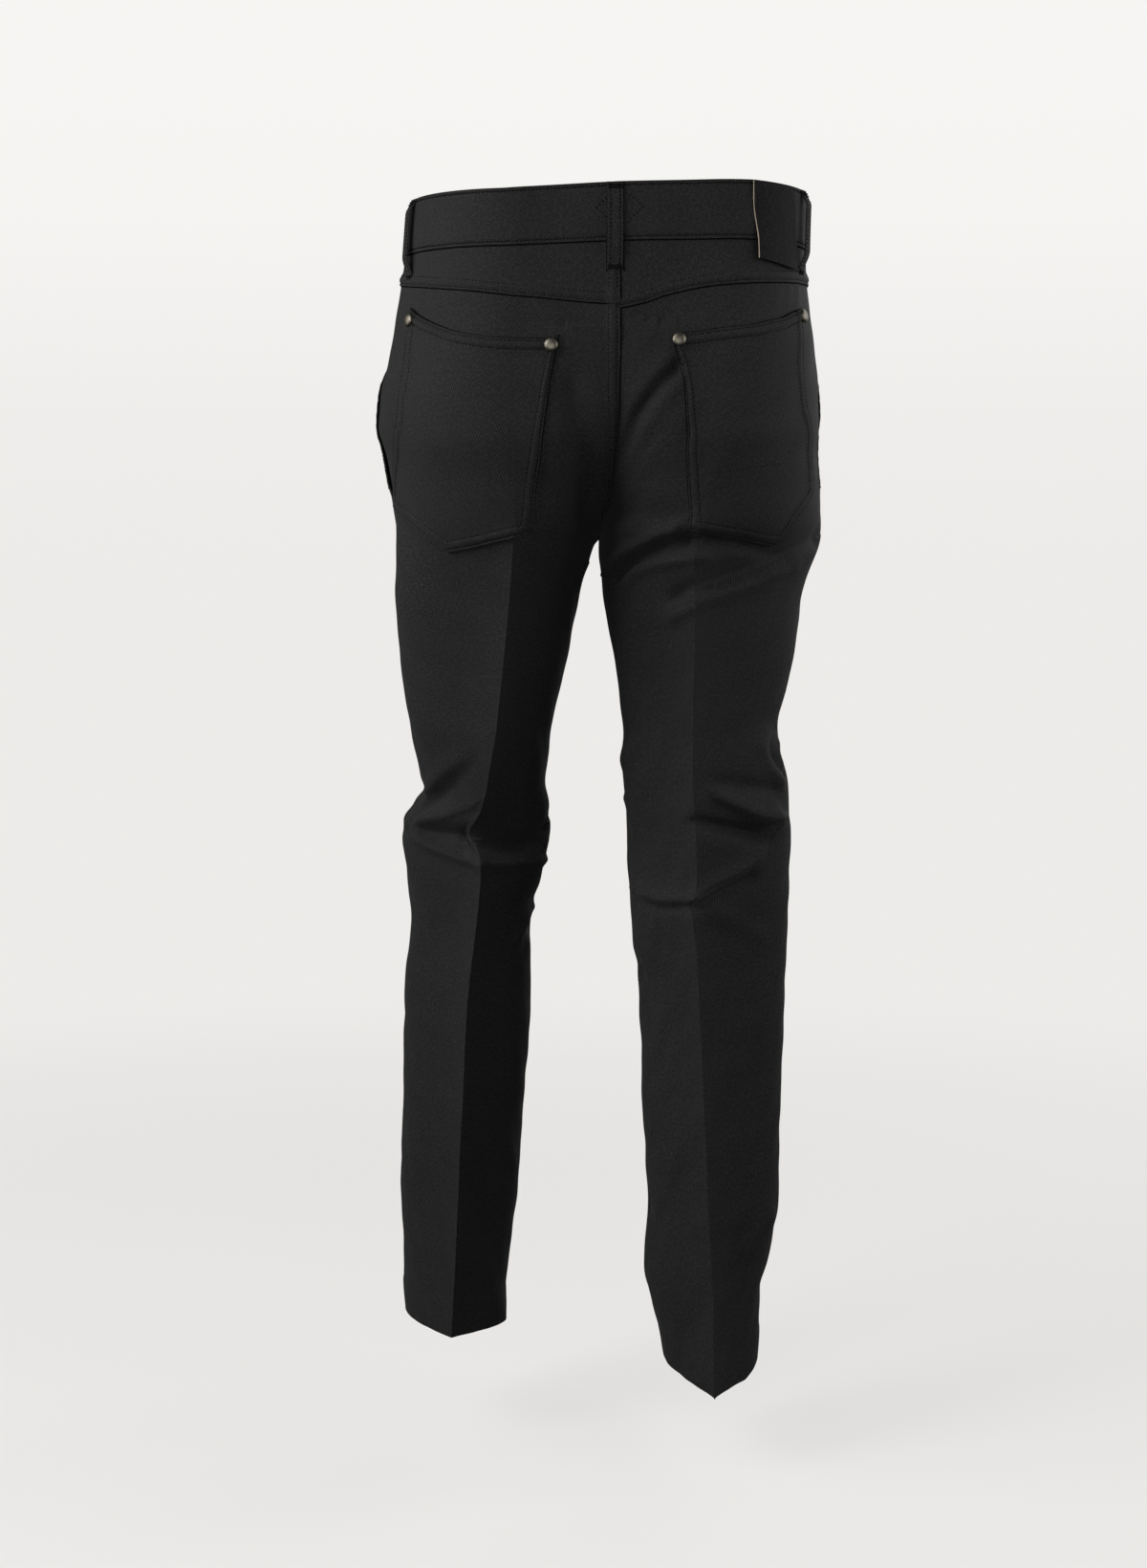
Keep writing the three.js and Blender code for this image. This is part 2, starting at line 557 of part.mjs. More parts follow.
// The self-finished edges of front and back, pressed open along the inside of the outseam.
function selvedgeStrip(half) {
  const levels = frontLevels(half).filter((level) => level < selvedge.top);
  const back = backPanel(half);
  const front = frontPanel(half);
  return wall(2, levels.length - 1, selvedge.thick, (column, row, depth) => {
    const z = levels[row];
    const out = -cloth - selvedge.depth - depth;
    if (column === 1) return clothPoint(half, 0.5, z, out);
    const panel = column === 0 ? front : back;
    const near = column === 0 ? fieldCells : 0;
    const far = column === 0 ? fieldCells - 1 : 1;
    const u = lerp(panel.u(near, z), panel.u(far, z), selvedge.width);
    return onPanel(panel, u, z, out);
  });
}

// ---- Waistband, fly and fastenings ----
// The waistband is one strip. It starts under the left front, passes the centre front and goes round
// the right hip, the back and the left hip to the left front's edge.
function waistbandStrip() {
  const front = [...Array(fieldCells + 1).keys()].map((column) => (column / fieldCells) * (0.5 - trim));
  const back = [...Array(fieldCells + 1).keys()].map((column) => backColumn(left, column, -band.width));
  const depthUnder = band.thick + gap;
  const stations = [
    { half: left, u: band.underlap, sink: depthUnder },
    { half: left, u: 0.05, sink: depthUnder },
    { half: left, u: 0.02, sink: depthUnder },
    { half: right, u: 0, sink: depthUnder },
    { half: right, u: 0.025, sink: depthUnder / 2 },
    ...front.slice(1).map((u) => ({ half: right, u, sink: 0 })),
    ...back.slice(1, fieldCells).map((u) => ({ half: right, u, sink: 0 })),
    { half: left, u: 1, sink: 0 },
    ...back.slice(0, fieldCells).reverse().map((u) => ({ half: left, u, sink: 0 })),
    ...front.slice(1, fieldCells).reverse().map((u) => ({ half: left, u, sink: 0 })),
    { half: left, u: 0.025, sink: 0 },
    { half: left, u: trim, sink: 0 },
  ];
  const rows = 2;
  return wall(stations.length - 1, rows, band.thick, (column, row, depth) => {
    const { half, u, sink } = stations[column];
    return clothPoint(half, u, -band.width * (row / rows), band.proud - sink - depth);
  });
}

// A strip behind the left front, beside the centre front, with its columns at the given stops of u.
function flyStrip(stops, levels, depthOut, thick) {
  return wall(stops.length - 1, levels.length - 1, thick, (column, row, depth) =>
    onPanel(frontPanel(left), stops[column], levels[row], -depthOut - depth));
}

// A lathe-turned cap with a rim, standing on a face with the given point and normal.
function cap(radius, rim, dome, point, normal) {
  const steps = 4;
  const profile = [new THREE.Vector2(0, 0), new THREE.Vector2(radius, 0), new THREE.Vector2(radius, rim)];
  for (let step = 1; step < steps; step += 1) {
    const angle = (step / steps) * Math.PI * 0.5;
    profile.push(new THREE.Vector2(radius * Math.cos(angle), rim + (dome - rim) * Math.sin(angle)));
  }
  profile.push(new THREE.Vector2(0, dome));
  const geometry = new THREE.LatheGeometry(profile, 14);
  const turn = new THREE.Quaternion().setFromUnitVectors(new THREE.Vector3(0, 1, 0), normal);
  geometry.applyQuaternion(turn);
  geometry.translate(point.x, point.y, point.z);
  return geometry;
}

function rivetAt(half, u, z) {
  const out = backPocket.standOff + cloth + rivet.seat;
  return cap(rivet.radius, rivet.rim, rivet.dome, onPanel(backPanel(half), u, z, out), normalAt(half, u, z));
}

function frontButton() {
  const point = clothPoint(left, button.u, button.z, band.proud + gap);
  return cap(button.radius, button.rim, button.dome, point, normalAt(left, button.u, button.z));
}

// A belt loop: a flat strap tacked to the band's top and to the cloth below it, bowed out between.
function beltLoop(half, uTop, uBottom, sink) {
  const normal = normalAt(half, (uTop + uBottom) / 2, -band.width / 2);
  normal.z = 0;
  normal.normalize();
  const across = new THREE.Vector3(-normal.y, normal.x, 0);
  return wall(2, loop.rows, loop.thick, (column, row, depth) => {
    const share = row / loop.rows;
    const z = lerp(loop.top, loop.bottom, share);
    const bow = (loop.stand + sink) * smooth(0, loopBow.rise, share) * smooth(1, loopBow.fall, share);
    const seat = lerp(band.proud, 0, smooth(loopBow.fall, loopBow.end, share));
    const point = clothPoint(half, lerp(uTop, uBottom, share), Math.min(z, 0), 0);
    point.z += Math.max(z, 0);
    point.addScaledVector(normal, seat + gap + bow - sink + loop.thick - depth);
    return point.addScaledVector(across, (column - 1) * (loop.width / 2));
  });
}

// The leather patch hangs from the band's top edge over the right back.
function leatherPatch() {
  const cells = patchColumns.inner - patchColumns.outer;
  return wall(cells, patch.rows, patch.thick, (column, row, depth) => {
    const share = row / patch.rows;
    const z = lerp(patch.top, patch.bottom, share);
    const u = backColumn(right, patchColumns.outer + column, -band.width);
    const out = band.proud + patch.standOff + patch.flare * share + patch.thick - depth;
    return clothPoint(right, u, z, out);
  });
}

// ---- Assembly ----
const twill = () => new THREE.MeshStandardMaterial({ color: '#1c1b1d', roughness: 0.85, metalness: 0 });
const leather = () => new THREE.MeshStandardMaterial({ color: '#141313', roughness: 0.55, metalness: 0 });
const steel = () => new THREE.MeshStandardMaterial({ color: '#a9a49a', roughness: 0.3, metalness: 1 });
const edgeCloth = () => new THREE.MeshStandardMaterial({ color: '#3a3839', roughness: 0.85, metalness: 0 });

const jeans = new THREE.Group();
function add(name, geometry, material) {
  const mesh = new THREE.Mesh(geometry, material);
  mesh.name = name;
  jeans.add(mesh);
}

for (const half of [left, right]) {
  add(`front_${half.name}`, panelWall(frontPanel(half)), twill());
  add(`back_${half.name}`, panelWall(backPanel(half)), twill());
  add(`yoke_${half.name}`, panelWall(yokePanel(half)), twill());
  add(`hip_${half.name}`, hipPiece(half), twill());
  add(`back_pocket_${half.name}`, backPocketPiece(half), twill());
  add(`selvedge_${half.name}`, selvedgeStrip(half), edgeCloth());
}
add('waistband', waistbandStrip(), twill());

const shieldStops = [trim, ...fly.chain, crease / 5, band.underlap];
const shieldLevels = frontLevels(left).filter((level) => level >= fly.end);
add('fly_shield', flyStrip(shieldStops, shieldLevels, fly.shieldDepth, cloth), twill());
const chainLevels = [zipRows.sliderEnd - gap, ...zipRows.chain];
add('zip_chain', flyStrip(fly.chain, chainLevels, fly.zipDepth, cloth), steel());
const sliderLevels = [zipRows.sliderTop, zipRows.sliderEnd];
add('zip_slider', flyStrip(fly.slider, sliderLevels, fly.zipDepth, cloth), steel());
add('button', frontButton(), steel());

// sink brings a loop down to the flat facets of the cloth under it.
const loops = table(['name', 'half', 'uTop', 'uBottom', 'sink'],
  ['loop_back', left, 0.992, 0.992, 0],
  ['loop_side_left', left, 0.542, 0.566, 0.3],
  ['loop_side_right', right, 0.568, 0.584, 0.85],
  ['loop_front_left', left, 0.25, 0.25, 0],
  ['loop_front_right', right, 0.25, 0.25, 0],
);
for (const { name, half, uTop, uBottom, sink } of loops) {
  add(name, beltLoop(half, uTop, uBottom, sink), twill());
}

const rivets = table(['name', 'half', 'u', 'z'],
  ['rivet_left_outer', left, 0.6, -102], ['rivet_left_inner', left, 0.832, -125],
  ['rivet_right_outer', right, 0.612, -101], ['rivet_right_inner', right, 0.851, -123],
);
for (const { name, half, u, z } of rivets) add(name, rivetAt(half, u, z), steel());
add('patch', leatherPatch(), leather());

export default jeans;
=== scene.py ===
import math

import bpy
import numpy as np
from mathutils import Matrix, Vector


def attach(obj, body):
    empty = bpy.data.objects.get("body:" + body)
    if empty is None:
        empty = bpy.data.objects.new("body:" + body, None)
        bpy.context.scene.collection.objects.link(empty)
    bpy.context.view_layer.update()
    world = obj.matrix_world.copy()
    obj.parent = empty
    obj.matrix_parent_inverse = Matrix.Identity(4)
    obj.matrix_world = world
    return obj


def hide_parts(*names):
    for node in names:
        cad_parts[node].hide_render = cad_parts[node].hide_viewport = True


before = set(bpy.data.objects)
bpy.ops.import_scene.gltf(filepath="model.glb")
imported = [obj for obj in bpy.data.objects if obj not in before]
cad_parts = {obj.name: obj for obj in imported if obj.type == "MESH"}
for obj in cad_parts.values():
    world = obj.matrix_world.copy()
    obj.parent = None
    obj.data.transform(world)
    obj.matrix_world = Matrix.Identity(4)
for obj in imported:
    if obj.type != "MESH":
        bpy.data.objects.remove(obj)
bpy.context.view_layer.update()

# Pressed twill jeans in their worn form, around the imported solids. Sizes are in mm and become metres
# as each mesh is made. Front is -Y, the wearer's left +X, and the band's top edge is at 0.
mm = 0.001

# Camera, lights and floor.
viewFrom = {"away": 2.18, "round": 3.0, "turn": -0.83, "down": 5.7, "height": -0.26, "lens": 60.7}
studio = {
    "floor": -1.06, "floorSize": 40.0, "paper": "#edebe9", "paperLitAbove": "#f6f5f3", "ambient": 0.03,
    "shadow": 0.25, "shadowEnds": {"From Min": 1.2, "From Max": 2.6},
    "climb": {"From Min": -0.02, "From Max": 0.16}, "aim": (0.0, 0.0, -0.45),
}
# Softboxes: place, width and height, and power. Most of the light comes from the wearer's left.
lamps = {
    "near": ((1.3, 0.85, 0.4), (0.6, 0.8), 14),
    "keyHigh": ((1.8, 1.2, 1.6), (1.6, 2.0), 20),
    "side": ((2.4, 0.1, 0.3), (1.2, 2.0), 26),
    "rim": ((-2.0, -0.3, 0.4), (0.9, 1.8), 17),
    "hip": ((-0.95, 0.45, 0.0), (0.4, 0.5), 3.2),
    "low": ((0.3, 2.6, -0.4), (2.0, 1.6), 30),
    "front": ((-1.4, -2.4, 0.8), (2.0, 2.0), 26),
}


def makeCamera():
    away, around = viewFrom["away"], math.radians(viewFrom["round"])
    yaw, pitch = math.radians(viewFrom["round"] + viewFrom["turn"]), math.radians(viewFrom["down"])
    camera = bpy.data.objects.new("camera", bpy.data.cameras.new("camera"))
    camera.data.lens = viewFrom["lens"]
    camera.location = (away * math.sin(around), away * math.cos(around), viewFrom["height"])
    ahead = Vector((-math.sin(yaw) * math.cos(pitch), -math.cos(yaw) * math.cos(pitch), -math.sin(pitch)))
    camera.rotation_euler = ahead.to_track_quat("-Z", "Y").to_euler()
    bpy.context.collection.objects.link(camera)
    bpy.context.scene.camera = camera


def makeLight(name, at, size, power):
    lamp = bpy.data.lights.new(name, "AREA")
    lamp.shape = "RECTANGLE"
    lamp.size, lamp.size_y = size
    lamp.energy = power
    light = bpy.data.objects.new(name, lamp)
    light.location = at
    light.rotation_euler = (Vector(studio["aim"]) - Vector(at)).to_track_quat("-Z", "Y").to_euler()
    bpy.context.collection.objects.link(light)


def addNode(tree, kind, inputs=None, **settings):
    node = tree.nodes.new(kind)
    for name, value in settings.items():
        setattr(node, name, value)
    for key, value in (inputs or {}).items():
        if isinstance(value, bpy.types.NodeSocket):
            tree.links.new(value, node.inputs[key])
        else:
            node.inputs[key].default_value = value
    return node


def linear(hexColour):  # sRGB hex to the renderer's linear colour
    parts = [int(hexColour[k:k + 2], 16) / 255 for k in (1, 3, 5)]
    return (*[p / 12.92 if p <= 0.04045 else ((p + 0.055) / 1.055) ** 2.4 for p in parts], 1.0)


def newMaterial(name):
    material = bpy.data.materials.new(name)
    material.use_nodes = True
    material.node_tree.nodes.clear()
    return material, material.node_tree


def seenOrShed(tree, seen, shed):  # one look for the camera, another for the light it sheds
    fromCamera = addNode(tree, "ShaderNodeLightPath").outputs["Is Camera Ray"]
    return addNode(tree, "ShaderNodeMixShader", {0: fromCamera, 1: shed, 2: seen}).outputs[0]


def makeStage():
    scene = bpy.context.scene
    scene.view_settings.view_transform = "Standard"
    world = bpy.data.worlds.new("paper")
    scene.world = world
    world.use_nodes = True
    tree = world.node_tree
    tree.nodes.clear()
    # Seamless paper, with painted light: it is drawn a little brighter above, standing in for more light
    # falling on its upper part. What it sheds on the cloth is set apart from how it looks.
    paper, paperLitAbove = linear(studio["paper"]), linear(studio["paperLitAbove"])
    place = addNode(tree, "ShaderNodeTexCoord").outputs["Generated"]
    way = addNode(tree, "ShaderNodeSeparateXYZ", {0: place})
    climb = addNode(tree, "ShaderNodeMapRange", {"Value": way.outputs["Z"], **studio["climb"]},
                    interpolation_type="SMOOTHSTEP")
    wall = addNode(tree, "ShaderNodeMix", {0: climb.outputs["Result"], 6: paper, 7: paperLitAbove},
                   data_type="RGBA")
    seen = addNode(tree, "ShaderNodeBackground", {"Color": wall.outputs[2]})
    shed = addNode(tree, "ShaderNodeBackground", {"Color": paper, "Strength": studio["ambient"]})
    mix = seenOrShed(tree, seen.outputs[0], shed.outputs[0])
    addNode(tree, "ShaderNodeOutputWorld", {"Surface": mix})

    half = studio["floorSize"] / 2
    corners = [(-half, -half), (half, -half), (half, half), (-half, half)]
    mesh = bpy.data.meshes.new("floor")
    mesh.from_pydata([(x, y, studio["floor"]) for x, y in corners], [], [(0, 1, 2, 3)])
    floor = bpy.data.objects.new("floor", mesh)
    bpy.context.collection.objects.link(floor)
    material, tree = newMaterial("studio paper, matt")
    # The same paper: it takes a soft shadow near the object and runs evenly into the backdrop.
    place = addNode(tree, "ShaderNodeTexCoord").outputs["Object"]
    away = addNode(tree, "ShaderNodeVectorMath", {0: place}, operation="LENGTH").outputs["Value"]
    share = addNode(tree, "ShaderNodeMapRange", {"Value": away, **studio["shadowEnds"],
                    "To Min": 1 - studio["shadow"]}, interpolation_type="SMOOTHSTEP").outputs["Result"]
    matt = addNode(tree, "ShaderNodeBsdfDiffuse", {"Color": paper})
    lit = addNode(tree, "ShaderNodeEmission", {"Color": paper})
    shown = addNode(tree, "ShaderNodeMixShader", {0: share, 1: matt.outputs[0], 2: lit.outputs[0]})
    shed = addNode(tree, "ShaderNodeEmission", {"Color": paper, "Strength": studio["ambient"]})
    mix = seenOrShed(tree, shown.outputs[0], shed.outputs[0])
    addNode(tree, "ShaderNodeOutputMaterial", {"Surface": mix})
    mesh.materials.append(material)
    for name, (at, size, power) in lamps.items():
        makeLight(name, at, size, power)


makeCamera()
makeStage()
print("camera, floor and lights made")

# The worn form: each half is one surface of u round it and z.
# u is 0 at the front rise or inseam, 0.25 at the front crease, 0.5 at the outseam, 0.75 at the back
# crease and 1 at the back rise or inseam.
form = {"wayRound": 460, "roundness": 0.5523, "pressPull": 0.9, "crease": 0.25}
fork = {"z": -273, "y": 2, "curve": 120, "power": 2.2}
band = {"width": 45, "thick": 2.6, "proud": 1.5, "frontDip": 14, "fade": 150, "underlap": 0.083,
        "rows": (-3.0, -42.4), "groove": 0.7, "rowWidth": 1.1, "crown": 0.25}
mouth = {"top": 0.42, "end": -235, "start": 0.4, "lap": 0.8}

# z, then the outseam's x and y, the creases' x and y (back, front) and how sharply each is pressed
leftSections = np.array([
    [10, 160, 0, 70, 104, 70, -98, 0, 0],
    [-60, 170, -2, 76, 110, 76, -106, 0, 0],
    [-95, 176, -3, 81, 114, 79, -108, 0, 0],
    [-125, 181, -4, 86, 118, 82, -110, 0, 0],
    [-140, 184, -5, 87, 119, 83, -110, 0, 0],
    [-155, 188, -6, 88, 120, 84, -111, 0, 0],
    [-186, 190, -9, 88, 120, 86, -112, 0, 0.1],
    [-200, 187, -11, 88, 119, 86, -112, 0, 0.1],
    [-228, 181, -12, 86, 112, 88, -114, 0.1, 0.2],
    [-262, 177, -14, 82, 104, 90, -116, 0.2, 0.3],
    [-300, 178, -18, 84, 91, 92, -118, 0.6, 0.4],
    [-340, 178, -22, 87, 76, 94, -120, 0.8, 0.6],
    [-430, 168, -38, 96, 46, 98, -128, 0.9, 0.9],
    [-455, 163, -44, 100, 33, 100, -132, 0.9, 1],
    [-475, 159, -49, 103, 21, 102, -136, 0.8, 1],
    [-486, 156, -53, 105, 15, 103, -138, 0.8, 1],
    [-500, 163, -58, 109, 6, 104, -140, 0.8, 1],
    [-510, 170, -60, 114, 2, 105, -141, 0.8, 1],
    [-519, 173, -62, 118, 0, 106, -142, 0.8, 1],
    [-527, 175, -63, 116, -1, 107, -143, 0.8, 1],
    [-534, 175, -65, 111, -2, 109, -145, 0.8, 1],
    [-541, 174, -66, 109, -2, 110, -146, 0.8, 1],
    [-560, 172, -68, 109, -2, 112, -147, 0.9, 1],
    [-600, 168, -74, 113, -5, 116, -150, 1, 1],
    [-650, 174, -80, 119, -9, 122, -154, 1, 1],
    [-690, 175, -84, 122, -11, 125, -158, 1, 1],
    [-740, 176, -90, 124, -14, 128, -162, 1, 1],
    [-790, 178, -95, 127, -20, 130, -168, 1, 1],
    [-840, 179, -101, 129, -26, 132, -174, 1, 1],
    [-959, 176, -114, 135, -39, 134, -188, 0.7, 1],
], float)
rightSections = np.array([
    [10, 156, 0, 70, 104, 70, -98, 0, 0],
    [-60, 157, -2, 74, 110, 74, -106, 0, 0],
    [-95, 161, -3, 77, 114, 76, -108, 0, 0],
    [-120, 165, -4, 80, 118, 78, -110, 0, 0],
    [-190, 169, -6, 78, 122, 80, -112, 0, 0.1],
    [-207, 168, -6, 74, 120, 80, -112, 0, 0.1],
    [-230, 170, -7, 70, 117, 80, -111, 0.1, 0.2],
    [-262, 172, -8, 64, 112, 80, -110, 0.2, 0.3],
    [-282, 170, -8, 59, 107, 79, -109, 0.4, 0.4],
    [-310, 160, -7, 60, 100, 78, -107, 0.7, 0.5],
    [-345, 154, -6, 61, 92, 77, -103, 0.8, 0.7],
    [-380, 149, -5, 61, 84, 76, -99, 0.9, 0.8],
    [-412, 141, -4, 61, 79, 76, -95, 0.9, 0.9],
    [-428, 138, -4, 61, 76, 76, -93, 0.9, 0.9],
    [-442, 139, -4, 61, 74, 76, -92, 0.9, 0.9],
    [-475, 146, -4, 62, 69, 76, -90, 0.9, 1],
    [-502, 148, -5, 64, 66, 76, -89, 0.9, 1],
    [-515, 150, -5, 65, 64, 76, -88, 0.9, 1],
    [-552, 149, -7, 66, 61, 76, -87, 0.9, 1],
    [-562, 149, -7, 64, 60, 76, -87, 0.9, 1],
    [-573, 149, -8, 62, 59, 76, -87, 0.9, 1],
    [-590, 148, -8, 64, 57, 76, -86, 1, 1],
    [-613, 147, -9, 67, 54, 76, -86, 1, 1],
    [-650, 147, -11, 69, 52, 78, -87, 1, 1],
    [-700, 145, -13, 72, 50, 80, -88, 1, 1],
    [-760, 144, -15, 75, 47, 82, -91, 1, 1],
    [-820, 143, -18, 78, 44, 84, -94, 1, 1],
    [-842, 143, -19, 79, 44, 84, -95, 1, 1],
    [-856, 140, -19, 80, 43, 84, -96, 1, 1],
    [-871, 138, -20, 81, 43, 84, -97, 1, 1],
    [-888, 134, -21, 82, 43, 84, -98, 1, 1],
    [-906, 129, -22, 83, 44, 85, -99, 1, 1],
    [-925, 128, -23, 83, 44, 85, -100, 1, 1],
    [-987, 126, -26, 84, 46, 86, -102, 1, 1],
], float)
# z, the seam's x, its y at the seat and at the fly, and how many degrees it dips between the halves
centreSeam = np.array([
    [10, 0, 106, -100, 0, 0],
    [-60, 0, 112, -108, 0, 0],
    [-120, 0, 116, -112, 8, 4],
    [-180, 1, 108, -106, 28, 16],
    [-225, 3, 90, -92, 50, 34],
    [-273, 11, 60, -66, 80, 70],
], float)
# z, how far the inseam lies from the centre plane, and its y
leftInseam = np.array([
    [-273, 11, 2], [-295, 20, -4], [-317, 26, -9], [-340, 30, -14], [-380, 37, -23], [-430, 49, -34],
    [-452, 51, -40], [-478, 53, -48], [-500, 50, -53], [-520, 49, -57], [-540, 52, -60], [-552, 55, -63],
    [-568, 58, -66], [-581, 63, -69], [-600, 65, -71], [-640, 66, -75], [-690, 66, -79], [-740, 70, -83],
    [-770, 73, -86], [-820, 75, -90], [-880, 82, -94], [-925, 87, -96], [-959, 87, -98],
], float)
rightInseam = np.array([
    [-273, -11, 2], [-295, -10, 0], [-340, -4, -2], [-380, 3, -4], [-405, 7, -5], [-430, 10, -6],
    [-460, 9, -7], [-495, 12, -8], [-535, 14, -10], [-552, 15, -10], [-575, 16, -11], [-615, 19, -12],
    [-632, 23, -13], [-650, 24, -14], [-700, 26, -16], [-740, 27, -17], [-790, 30, -19], [-840, 32, -21],
    [-890, 30, -22], [-905, 31, -22], [-920, 35, -23], [-950, 43, -24], [-987, 50, -26],
], float)

# Folds in the worn cloth, each a soft ridge (lift above 0) or trough about its line of (u, z) points.
# Width and lift go from the first number at its start to the second at its end. A lean above 0 makes
# its upper side wider and its lower side steeper.
leftFolds = [
    ([(0.612, -82), (0.620, -96)], (3.2, 4), (-1.1, -0.4), 0),
    ([(0.895, -165), (0.915, -200), (0.915, -250)], (19, 23), (-8, -11), 0),  # hollow beside the centre seam
    ([(0.570, -486), (0.603, -477), (0.641, -467), (0.693, -452)], (7, 9), (4.5, 1), 0.2),  # outseam notch
    ([(0.570, -502), (0.594, -498), (0.654, -483), (0.702, -468)], (7, 8), (-3.5, -2), 0),
    ([(0.565, -514), (0.600, -512), (0.670, -505), (0.725, -494)], (6, 7), (4, 2), 0.2),
    ([(0.620, -519), (0.664, -521), (0.735, -524)], (4.5, 9), (-4, -12), 0.3),  # behind the bent knee
    ([(0.575, -513), (0.620, -519), (0.650, -525), (0.720, -534)], (3.6, 5), (-2.5, -4), 0.2),
    ([(0.560, -518), (0.586, -522), (0.641, -531), (0.708, -540), (0.752, -544)], (4, 4.5), (2.4, 4.5), -0.2),
    ([(0.750, -530), (0.801, -534), (0.868, -534), (0.943, -529), (0.985, -520)], (8, 8), (-9, -8), 0.4),
    ([(0.752, -544), (0.811, -546), (0.905, -547), (0.965, -546)], (4.5, 5), (4, 3.5), -0.2),
    ([(0.985, -590), (0.932, -599), (0.884, -612), (0.854, -631)], (5, 6), (2.6, 0.8), 0),
    ([(0.985, -601), (0.940, -613), (0.900, -632)], (8, 8), (-2.6, -1), 0),
    ([(0.860, -330), (0.940, -300)], (12, 9), (-0.6, -2.2), 0),  # pull under the seat
    ([(0.985, -292), (0.915, -305), (0.850, -340)], (8, 12), (1.6, 0.3), 0),
    ([(0.555, -620), (0.640, -590)], (14, 14), (0.8, 0.5), 0),
    ([(0.060, -235), (0.200, -200)], (13, 13), (4, 4), 0),  # drag lines over the raised thigh
    ([(0.050, -285), (0.230, -238)], (14, 14), (-4, -4), 0),
    ([(0.040, -300), (0.120, -290), (0.230, -262)], (8, 10), (1.6, 0.4), 0),
    ([(0.080, -520), (0.180, -505)], (14, 14), (3, 3), 0),
    ([(0.060, -560), (0.150, -548), (0.240, -552)], (9, 9), (1.6, 0.3), 0),
    ([(0.300, -470), (0.420, -492), (0.480, -497)], (10, 8), (0.6, 2.6), 0),
    ([(0.280, -535), (0.400, -522), (0.490, -512)], (9, 8), (0.4, 2.4), 0),
]
rightFolds = [
    ([(0.598, -80), (0.611, -97)], (3.2, 4), (1.1, 0.3), 0),  # three puckers under the yoke
    ([(0.622, -81), (0.638, -98)], (3.2, 4), (1.0, 0.3), 0),
    ([(0.648, -83), (0.660, -95)], (3.2, 4), (0.7, 0.2), 0),
    ([(0.853, -143), (0.909, -154), (0.944, -169), (0.968, -183), (0.988, -198)], (7, 10), (-8, -7), -0.2),
    ([(0.840, -150), (0.900, -166), (0.935, -184)], (12, 12), (1.2, 1.4), 0),
    ([(0.960, -252), (0.873, -255), (0.812, -259)], (11, 9), (-5, -3), 0.2),  # folds under the seat
    ([(0.945, -304), (0.906, -291), (0.880, -285), (0.850, -279), (0.794, -268)], (4.5, 6), (6.5, 3), 0.2),
    ([(0.925, -309), (0.891, -300), (0.860, -293), (0.796, -283), (0.761, -279)], (4.5, 6), (-7.5, -8.5), 0.3),
    ([(0.761, -279), (0.704, -279), (0.660, -285), (0.610, -294)], (6.5, 8), (-8, -2), 0.2),
    ([(0.885, -309), (0.855, -299), (0.800, -293), (0.740, -289)], (5, 5), (2.8, 2.6), 0),
    ([(0.775, -322), (0.732, -310), (0.667, -298), (0.602, -283), (0.545, -276)], (6.5, 8), (-6.5, -6), 0.3),
    ([(0.790, -336), (0.735, -322), (0.660, -309), (0.600, -295)], (6, 7), (3.5, 3.5), 0),
    ([(0.560, -428), (0.610, -420)], (11, 12), (-2, -1), 0),
    ([(0.535, -430), (0.576, -439), (0.583, -450), (0.566, -461), (0.535, -469)], (3.2, 3.2), (-1.8, -1.8), 0),
    ([(0.540, -443), (0.552, -450), (0.543, -459)], (6, 6), (2, 2), 0),
    ([(0.608, -446), (0.598, -461), (0.560, -474)], (6, 6), (1.2, 2.6), 0),
    ([(0.715, -472), (0.654, -476), (0.590, -480)], (7, 7), (-2, -4), 0),
    ([(0.712, -482), (0.685, -490), (0.659, -496), (0.630, -501), (0.595, -503)], (5, 8), (3.5, 7), 0.2),
    ([(0.748, -502), (0.708, -508), (0.674, -512), (0.636, -516)], (6, 7), (-5, -10), -0.2),
    ([(0.565, -506), (0.600, -512), (0.629, -524), (0.643, -536), (0.672, -544), (0.722, -555), (0.748, -564)],
     (5.5, 4.5), (3.5, 4), 0.3),  # long curved ridge behind the knee
    ([(0.748, -565), (0.801, -569), (0.845, -569), (0.895, -567), (0.945, -563)], (4.5, 5), (3.4, 2.6), 0.2),
    ([(0.655, -552), (0.700, -561), (0.745, -573)], (5, 5), (-4, -5.5), 0),
    ([(0.765, -575), (0.840, -577), (0.930, -573)], (5, 5), (-2.6, -2), 0),
    ([(0.985, -458), (0.908, -443), (0.858, -431)], (9, 9), (2.4, 0.5), 0),
    ([(0.985, -490), (0.943, -505), (0.920, -524)], (5, 6), (2.4, 0.5), 0),
    ([(0.960, -556), (0.917, -575), (0.899, -588), (0.862, -614)], (4, 5), (2.4, 0.6), 0),
    ([(0.905, -562), (0.864, -579), (0.820, -605)], (5, 6), (1.6, 0.5), 0),
    ([(0.970, -637), (0.900, -661)], (11, 10), (-4, -2), 0),
    ([(0.720, -577), (0.679, -589), (0.630, -600)], (9, 9), (1.8, 1.2), 0),
    ([(0.990, -838), (0.930, -853)], (11, 10), (-3, -2), 0),
    ([(0.590, -846), (0.650, -864)], (12, 12), (4, 2), 0),
    ([(0.070, -240), (0.190, -215)], (13, 13), (-3, -3), 0),
    ([(0.120, -520), (0.330, -535)], (14, 14), (-3, -3), 0),
    ([(0.050, -275), (0.130, -262), (0.220, -240)], (8, 10), (1.6, 0.3), 0),
    ([(0.060, -555), (0.180, -540), (0.300, -552)], (9, 9), (1.4, 1.0), 0),
    ([(0.040, -640), (0.150, -655)], (10, 10), (1.2, 0.3), 0),
]
